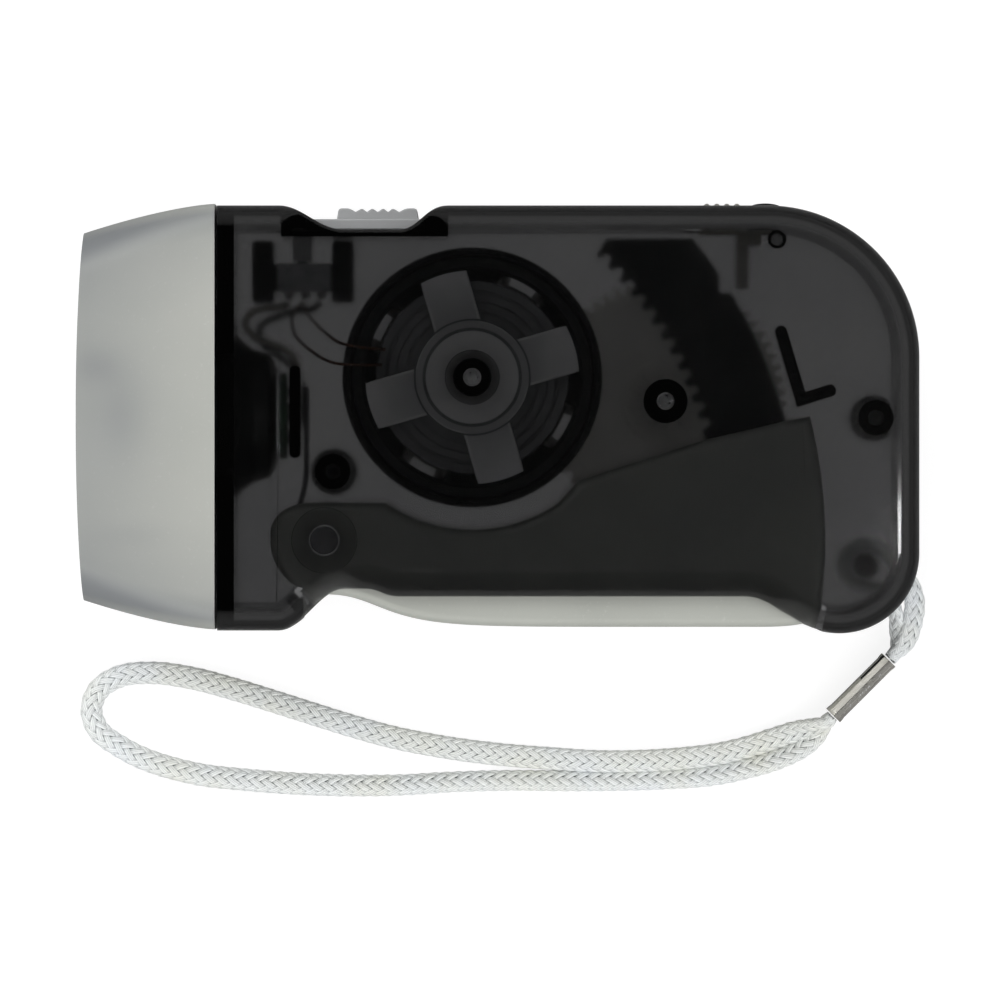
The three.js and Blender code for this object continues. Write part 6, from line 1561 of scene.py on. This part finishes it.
# Sector, wheel with its pinion, clutch gear with its ratchet, and the three steel pins.
def makeTrain():
    t = train
    low, high = stack["sector"]
    plateTop = topY - case["wall"] - 0.3 - latch["plate"][3]
    barX = jointX + latch["bar"][0] - 1.6 - pivot[0]
    barLow = plateTop - latch["bar"][2] - pivot[1]
    holes = [disc(lever["peg"] + 0.2, 0, 26, *polar(lever["pegReach"], a), 32)
             for a in lever["pegAngles"]]
    sector = combined(prism(sectorOutline(), low, high), [
        ("cut", box(0, 70, plateTop - 0.6 - pivot[1], 100, 0, 26),
         box(barX - 0.5, 70, barLow - 0.5, barLow + latch["bar"][2], 0, 26),
         box(0, 70, -60, lever["wall"] + 0.3 - lever["belly"], 0, 26), *holes)])
    put(sector, pivot)
    piece("toothed_sector", sector, "lever", looks["black"], ["sector_gear"], 32,
          0.12)

    back, front = stack["wheel"]
    trainAngle = math.degrees(math.atan2(rotor[1] - axle[1], rotor[0] - axle[0]))
    pitch = t["module"] * t["wheelTeeth"] / 2
    pinionPitch = t["sectorModule"] * t["pinionTeeth"] / 2
    web, rim = pinionPitch + 1.8 * t["sectorModule"], pitch - 4 * t["module"]
    dish = revolve(rounded([(web, front - t["web"]), (rim, front - t["web"]), (rim, front + 0.3),
                            (web, front + 0.3)], {0: 0.3, 1: 0.3}))
    wheel = combined(prism(gearOutline(t["wheelTeeth"], t["module"], trainAngle, 1.15, 0.9), back,
                           front, 0.0),
                     [("cut", dish), ("add", prism(gearOutline(t["pinionTeeth"], t["sectorModule"],
                                                               meshAngle, 1.2, 0.8, 7),
                                                   front - t["web"] - 0.2, high + 0.3),
                                      disc(t["hub"], back - 0.6, back + 0.2)),
                      ("cut", disc(t["pin"] + 0.2, 0, 26, steps=40))])
    put(wheel, axle)
    piece("wheel_and_pinion", wheel, "gear", looks["nylon"], ["compound_gear"], 32,
          0.06)

    pitch = t["module"] * t["clutchTeeth"] / 2
    phase = trainAngle + 180 + 180 / t["clutchTeeth"]
    cam = Outline(*polar(t["ratchet"], 0))
    for k in range(t["ratchetTeeth"]):
        for share in (0, 0.25, 0.5, 0.75, 1):
            angle = 360 * (k + share) / t["ratchetTeeth"]
            cam.to(*polar(t["ratchet"] * (1 + t["ratchetRise"] * (1 - share)), angle))
    teeth = gearOutline(t["clutchTeeth"], t["module"], phase, 1.15, 0.9)
    gear = combined(prism(teeth, back, front),
                    [("add", disc(t["sleeve"], front - 0.2, high),
                      prism(cam.closed(), high - 0.2, high + t["ratchetHeight"])),
                     ("cut", disc(t["clutchBore"], 0, 26, steps=40))])
    put(gear, rotor)
    piece("one_way_gear", gear, "clutch", looks["nylon"], ["clutch_gear"], 32, 0.06)

    for name, radius, place, low, high, node in (
            ("pivot_axle", t["pivotPin"], pivot, 0.8, 25.6, "lever_pivot_pin"),
            ("train_axle", t["pin"], axle, 1.0, 25.4, "gear_pin"),
            ("rotor_axle", t["rotorPin"], rotor, 1.0, 25.4, "flywheel_shaft")):
        piece(name, disc(radius, low, high, *place, 48, 0.15), "housing",
              looks["pin" if radius > 1.5 else "steel"], [node], 32)


# Generator: the flywheel cup with its ring magnet turns round two claw plates and the coil

rotorSizes = dict(
    radius=16.2, rim=0.9, bore=1.15, spigot=2.2, magnet=1.3, claw=13.3, clawThick=1.0,
    clawWidth=6.0, clawTurn=16, clawHub=7.1, clawTaper=0.62, clawLength=5.0, clawTop=21.7,
    flange=0.7, core=4.2, wire=0.16, coilIn=0.7,
    # ring grooves in the front plate and in the coil former: radius, width, depth
    grooves=((1.4, 2.7, 0.35), (5.8, 0.4, 0.35), (7.05, 0.25, 0.25)),
    spoolGrooves=((8.0, 0.4, 0.5), (9.3, 0.25, 0.4), (10.4, 0.5, 0.5)),
)


# Flywheel: a cup turned about its shaft, and the ring magnet inside its rim.
def makeRotor():
    g = rotorSizes
    back, front = stack["flywheel"]
    floor, bore = stack["cup"], g["bore"]
    inside = g["radius"] - g["rim"]
    cup = rounded([(bore, back), (g["radius"], back), (g["radius"], front), (inside, front),
                   (inside, floor), (g["spigot"] - 0.2, floor), (g["spigot"] - 0.2, floor + 0.3),
                   (bore, floor + 0.3)], {1: 0.6, 2: 0.45, 3: 0.2, 4: 0.5})
    piece("flywheel_cup", moved(revolve(cup, 128), *rotor), "rotor",
          looks["blackened"], ["flywheel"], 32)
    outer = inside - 0.3
    ring = rounded([(outer - g["magnet"], floor + 0.3), (outer, floor + 0.3), (outer, front - 0.3),
                    (outer - g["magnet"], front - 0.3)], {0: 0.2, 1: 0.2, 2: 0.2, 3: 0.2})
    piece("magnet_ring", moved(revolve(ring, 128), *rotor), "rotor", looks["ferrite"],
          ["ring_magnet"], 32)


# An arm with its end bent down or up as a claw that narrows to its tip: rings of a slice of a
# cylinder wall, each half a width over the radius wide to either side.
def clawArm(angle, plateLow, plateHigh, tip):
    g = rotorSizes
    out, thick = g["claw"], g["clawThick"]
    upward = tip > plateHigh
    root = plateLow if upward else plateHigh
    rings = []
    for z, share in ((root, 1.0), (tip + (0.3 if not upward else -0.3), g["clawTaper"] * 1.03),
                     (tip, g["clawTaper"] * 0.92)):
        half = g["clawWidth"] * share / 2 / out
        turns = np.linspace(-half, half, 7)
        ring = np.vstack([np.column_stack([r * np.cos(way), r * np.sin(way)])
                          for r, way in ((out - thick, turns), (out, turns[::-1]))])
        rings.append(atHeight(ring, z))
    width = g["clawWidth"] / 2
    arm = Outline(0, -width).to(out - 1.0, -width)
    arm.curve(out - 0.5, -width, out - 0.45, -width + 0.5, 5).to(out - 0.45, width - 0.5)
    arm.curve(out - 0.5, width, out - 1.0, width, 5).to(0, width)
    solids = [prism(arm.closed(), plateLow, plateHigh, 0.3, 3), skin(rings)]
    return [turned(s, "Z", angle) for s in solids]


# Rings of a rectangular section that cut grooves into a face at height top.
def grooveRings(grooves, top):
    return [revolve([(r, top - deep), (r + width, top - deep), (r + width, top + 1), (r, top + 1)])
            for r, width, deep in grooves]


# A look's number for each face of a claw plate: 2, painted shade, where all its corners lie in one
# of the grooves, below the plate's top, 1, a painted highlight, where it isn't level, else 0.
def clawLooks(mesh, grooves, top):
    starts = valuesOf(mesh.polygons, "loop_start", 1)[:, 0].astype(int)
    corners = valuesOf(mesh.loops, "vertex_index", 1)[:, 0].astype(int)
    points = valuesOf(mesh.vertices, "co")[corners] / mm
    radii = np.hypot(points[:, 0] - rotor[0], points[:, 1] - rotor[1])
    near, far = np.minimum.reduceat(radii, starts), np.maximum.reduceat(radii, starts)
    sunk = np.maximum.reduceat(points[:, 2], starts) < top - 0.1
    found = np.where(np.abs(valuesOf(mesh.polygons, "normal")[:, 2]) < 0.99, 1, 0)
    for radius, width in grooves:
        found[sunk & (near > radius - 0.05) & (far < radius + width + 0.05)] = 2
    return found


# Stator: two claw plates of four arms, turned by half a step, the coil former between them and the
# winding, whose outside shows the round backs of its wires.
def makeStator():
    g = rotorSizes
    low, high = stack["stator"]
    thick, bore = g["clawThick"], g["spigot"] + 0.2
    for name, node, turn, base, tip in (
            ("back_claws", "rear_claw_plate", g["clawTurn"] + 45, low, g["clawTop"]),
            ("front_claws", "front_claw_plate", g["clawTurn"], high - thick,
             high - thick - g["clawLength"])):
        solids = [s for k in range(4) for s in clawArm(turn + 90 * k, base, base + thick, tip)]
        grooves = g["grooves"] if name == "front_claws" else ()
        plate = combined(disc(g["clawHub"], base, base + thick, edge=0.15),
                         [("add", *solids),
                          ("cut", disc(bore, 0, 26), *grooveRings(grooves, base + thick))])
        put(plate, rotor)
        thing = piece(name, plate, "housing",
                      [looks["claws"], looks["clawEdgeHighlight"], looks["spool"]], [node], 32)
        # the narrow grooves get the spool's grey as painted shade
        narrow = [groove[:2] for groove in grooves[1:]]
        thing.data.polygons.foreach_set("material_index",
                                        clawLooks(thing.data, narrow, base + thick))
    back, front = low + thick + 0.3, high - thick - 0.3
    radius = g["claw"] - thick - 0.3
    f = g["flange"]
    spool = rounded([(bore, back), (radius, back), (radius, back + f), (g["core"], back + f),
                     (g["core"], front - f), (radius, front - f), (radius, front), (bore, front)],
                    {1: 0.2, 2: 0.2, 5: 0.2, 6: 0.2})
    shape = combined(revolve(spool), [("cut", *grooveRings(g["spoolGrooves"], front))])
    put(shape, rotor)
    piece("coil_spool", shape, "housing", looks["spool"], ["coil_bobbin"], 32,
          0.05)
    near, far = back + f + 0.2, front - f - 0.2
    turns = int((far - near) / (2 * g["wire"]))
    outer = radius - g["coilIn"]
    profile = [(g["core"] + 0.2, near)]
    for k in range(turns):
        middle = near + (far - near) * (k + 0.5) / turns
        profile += [(outer + g["wire"] * math.cos(a), middle + g["wire"] * math.sin(a))
                    for a in np.radians((-60, -20, 20, 60))]
    profile.append((g["core"] + 0.2, far))
    piece("wound_coil", moved(revolve(profile, 96), *rotor), "housing",
          looks["enamel"], ["coil_winding"], 50)


# Return spring round the pivot, one leg on the lever's floor and one on the rib of the housing

spring = dict(radius=4.45, wire=0.33, pitch=1.2, turns=4 + 75 / 360, back=12.2)


# A wire along a helix, (r cos a, r sin a, pitch a / 2 pi), with a straight leg at either end.
def makeSpring():
    s = spring
    floorY = lever["wall"] - lever["belly"] + s["wire"] + 0.8
    ribX = jointX + bosses["springRib"][0] + bosses["springRib"][1] + 0.3 + s["wire"] - pivot[0]
    along = lever["neck"] * 1.9
    points = [(along, floorY, s["back"]), (along * 0.8, floorY + s["wire"], s["back"]),
              (along * 0.35, -s["radius"] * 1.08, s["back"])]
    count = round(8 * s["turns"])
    for i in range(count + 1):
        x, y = polar(s["radius"], -90 - 360 * s["turns"] * i / count)
        points.append((x, y, s["back"] + s["pitch"] * s["turns"] * i / count))
    top = points[-1][2]
    points += [(ribX - 0.5 * s["wire"], s["radius"] * 1.6, top), (ribX, s["radius"] * 2.5, top),
               (ribX, s["radius"] * 4.3, top)]
    coil = tube(smoothPath(points, 0.35), s["wire"], 10)
    piece("torsion_spring", moved(coil, *pivot), "housing", looks["springWire"],
          ["return_spring"], 50)


# Wires: two leads from the switch to the lamp board, two enamelled wires to the coil

wires = dict(
    lead=0.45, coil=0.2,
    light=((-26.3, 14.5, 9.9), (-26.9, 14.1, 9.5), (-28.6, 13.9, 9), (-30.8, 13.4, 8.6),
           (-31.7, 11.8, 8.4), (-30.5, 10.2, 8.4), (-28.2, 9.3, 8.4), (-26, 8.2, 8.6),
           (-25, 5.8, 8.9), (-25.1, 3.6, 9), (-25.9, 2.6, 9)),
    dark=((-22.4, 14.5, 9.9), (-22.9, 13.9, 9.4), (-25.3, 13.5, 8.4), (-28, 12.7, 7.4),
          (-29.8, 11.6, 7), (-29.7, 9.6, 6.9), (-27.6, 8, 7), (-25.4, 6, 7.6), (-24.4, 3, 8.4),
          (-24.5, 0, 8.9), (-25.2, -1.6, 9), (-25.9, -1.9, 9)),
    coilA=((-24.5, 14.6, 10.2), (-24.1, 13.6, 11.2), (-22.9, 12, 15), (-21.2, 10.4, 19.6),
           (-19.5, 9.3, 22.2), (-17, 8.8, 22.9), (-14, 8.5, 22.75)),
    coilB=((-24.5, 14.5, 12.6), (-25.6, 13.2, 13.2), (-25.4, 10.6, 16), (-23.3, 8.4, 19.8),
           (-20.6, 6.9, 22.2), (-17.4, 6.6, 22.9), (-14.4, 6.6, 22.75)),
)


# Round wires along their routes.
def makeWires():
    for name, route, radius, slot, look, node in (
            ("pale_lead", "light", "lead", "light_insulation", "lightLead", "lead_wire_light"),
            ("dark_lead", "dark", "lead", "dark_insulation", "darkLead", "lead_wire_dark"),
            ("coil_end_1", "coilA", "coil", "enamelled_copper", "enamel", "coil_wire_1"),
            ("coil_end_2", "coilB", "coil", "enamelled_copper", "enamel", "coil_wire_2")):
        run = tube(smoothPath(wires[route], 0.4), wires[radius], 12)
        piece(name, run, "housing", looks[look], [node], 60)


# Screws of the housing, their heads sunk in the back wells

screw = dict(seat=10.55, head=1.9, high=1.3, shank=0.79, tip=22.1, pitch=0.9, thread=0.18)


# A profile turned about Z: a rounded head, the thread as a saw of rings, and a crossed slot.
def makeScrews():
    s = screw
    for number, place in enumerate(bosses["screws"], 1):
        top = s["seat"]
        profile = [(0, top - s["high"]), (s["head"] * 0.7, top - s["high"]),
                   (s["head"] * 0.93, top - s["high"] * 0.75), (s["head"], top - s["high"] * 0.45),
                   (s["head"], top), (s["shank"], top + 0.1)]
        for z in np.arange(top + 1.0, s["tip"] - 1.0, s["pitch"]):
            profile += [(s["shank"] - s["thread"], z), (s["shank"], z + s["pitch"] * 0.4),
                        (s["shank"], z + s["pitch"] * 0.5)]
        profile += [(s["shank"] - s["thread"], s["tip"] - 0.8), (0.1, s["tip"]), (0, s["tip"])]
        slots = [box(-1.3, 1.3, -0.25, 0.25, top - s["high"] - 1, top - 0.65),
                 box(-0.25, 0.25, -1.3, 1.3, top - s["high"] - 1, top - 0.65)]
        shape = combined(revolve(profile, 32), [("cut", *slots)])
        put(shape, place)
        piece(f"case_screw_{number}", shape, "housing", looks["screws"],
              [f"housing_screw_{number}"], 32)


# Crimp: a plated sheet folded round both strands of the cord, its free edge lying on top

# flap, slot and dents lie at shares of the sleeve's half width or length
crimp = dict(
    top=(49.4, -30.45), turn=45, length=9.9, width=2.3, height=4.2, sheet=0.42, lift=0.05,
    corner=0.42, flap=0.62, flapRise=0.16, seam=0.12, slot=(0.64, 0.88), slotFrom=0.58,
    slotDeep=0.52, dent=0.2, dentAt=-0.6, dents=(0.24, 0.42, 0.47, 0.52, 0.58, 0.78),
)


# Sleeve: a rounded oblong drawn along the cord, flared at both ends and hollow, with the folded
# flap, the seam beside it, a slot and a row of tool marks. By where their faces lie across the
# sleeve, the slot gets painted shade, the flap's upward faces painted light and the marks painted
# glints.
def makeCrimp():
    c = crimp
    halfX, halfY, corner = c["width"] / 2, c["height"] / 2, c["width"] * c["corner"]

    def ring(deep):  # the oblong, deep inside the outer face, its corners quarter circles
        o = Outline(0, -halfY + deep)
        r = max(corner - deep, 0.2)
        for x, y, start in ((1, -1, -90), (1, 1, 0), (-1, 1, 90), (-1, -1, 180)):
            o.arc(x * (halfX - deep - r), y * (halfY - deep - r), r, start, start + 90, 10)
        return o.closed()

    ends = ((0, 1.04), (0.35, 1.03), (0.8, 0.97), (c["length"] - 0.8, 0.97),
            (c["length"] - 0.35, 1.03), (c["length"], 1.04))
    outer = skin([atHeight(ring(0.0) * g, z) for z, g in ends])
    inner = skin([atHeight(ring(c["sheet"]) * g, z) for z, g in
                  ((-1, 1.05), (0.5, 1.03), (1.2, 0.97), (c["length"] - 1.2, 0.97),
                   (c["length"] - 0.5, 1.03), (c["length"] + 1, 1.05))])
    flap = box(-0.05, halfX * c["flap"], halfY * 0.955, halfY + c["flapRise"], 0.15,
               c["length"] - 0.15, 0.08)
    seam = box(-c["seam"], 0.0, halfY - 0.3, halfY + 0.4, -1, c["length"] + 1)
    slot = box(halfX * c["slot"][0], halfX * c["slot"][1], halfY - c["slotDeep"], halfY + 0.4,
               c["length"] * c["slotFrom"], c["length"] + 1)
    dents = [moved(turned(disc(c["dent"], -0.14, 0.14, steps=24), "Y", 90), c["dentAt"],
                   halfY - 0.05, c["length"] * share) for share in c["dents"]]
    shape = combined(outer, [("add", flap), ("cut", inner, seam, slot, *dents)])
    end = polar(c["length"], c["turn"] + 180, c["top"])
    place = Matrix.Translation((end[0] * mm, end[1] * mm, (halfY + c["lift"]) * mm))
    lay = Matrix(((0, 0, 1, 0), (1, 0, 0, 0), (0, 1, 0, 0), (0, 0, 0, 1)))
    shape.transform(place @ Matrix.Rotation(math.radians(c["turn"]), 4, "Z") @ lay)
    thing = piece("cord_crimp", shape, "housing",
                  [looks["nickel"], looks["nickelLitFold"], looks["glint"], looks["bowlBackAndSlotShade"]],
                  ["crimp_sleeve"], 32)
    side = np.array((-math.sin(math.radians(c["turn"])), math.cos(math.radians(c["turn"]))))
    faces = thing.data.polygons
    centres = valuesOf(faces, "center") / mm
    off = (centres[:, :2] - np.array(c["top"])) @ side
    reach = np.linalg.norm(centres[:, :2] - np.array(end), axis=1)
    # painted shade in the slot, painted light on the flap's upward faces, painted glints on the
    # marks
    slotShade = (reach > 0.57 * c["length"]) & (off > 0.63 * halfX) & (off < 0.9 * halfX)
    litFold = (valuesOf(faces, "normal")[:, 2] > 0.2) & (off > -0.06)
    small = valuesOf(faces, "area", 1)[:, 0] < 0.02 * mm ** 2
    onTop = centres[:, 2] > c["height"] + c["lift"] - 0.25
    glintMarks = small & onTop & (np.abs(off - c["dentAt"]) < 0.25)
    faces.foreach_set("material_index", np.select([slotShade, litFold, glintMarks], [3, 1, 2]))
    return thing


makeHead()
makeReflector()
print("head and reflector made")
makeSwitch()
makeLatch()
makeLever()
makeTrain()
print("lever, latch, switch and gears made")
makeRotor()
makeStator()
makeSpring()
makeWires()
makeScrews()
print("generator, spring, wires and screws made")
crimpPiece = makeCrimp()

bpy.context.scene.view_settings.view_transform = "Standard"
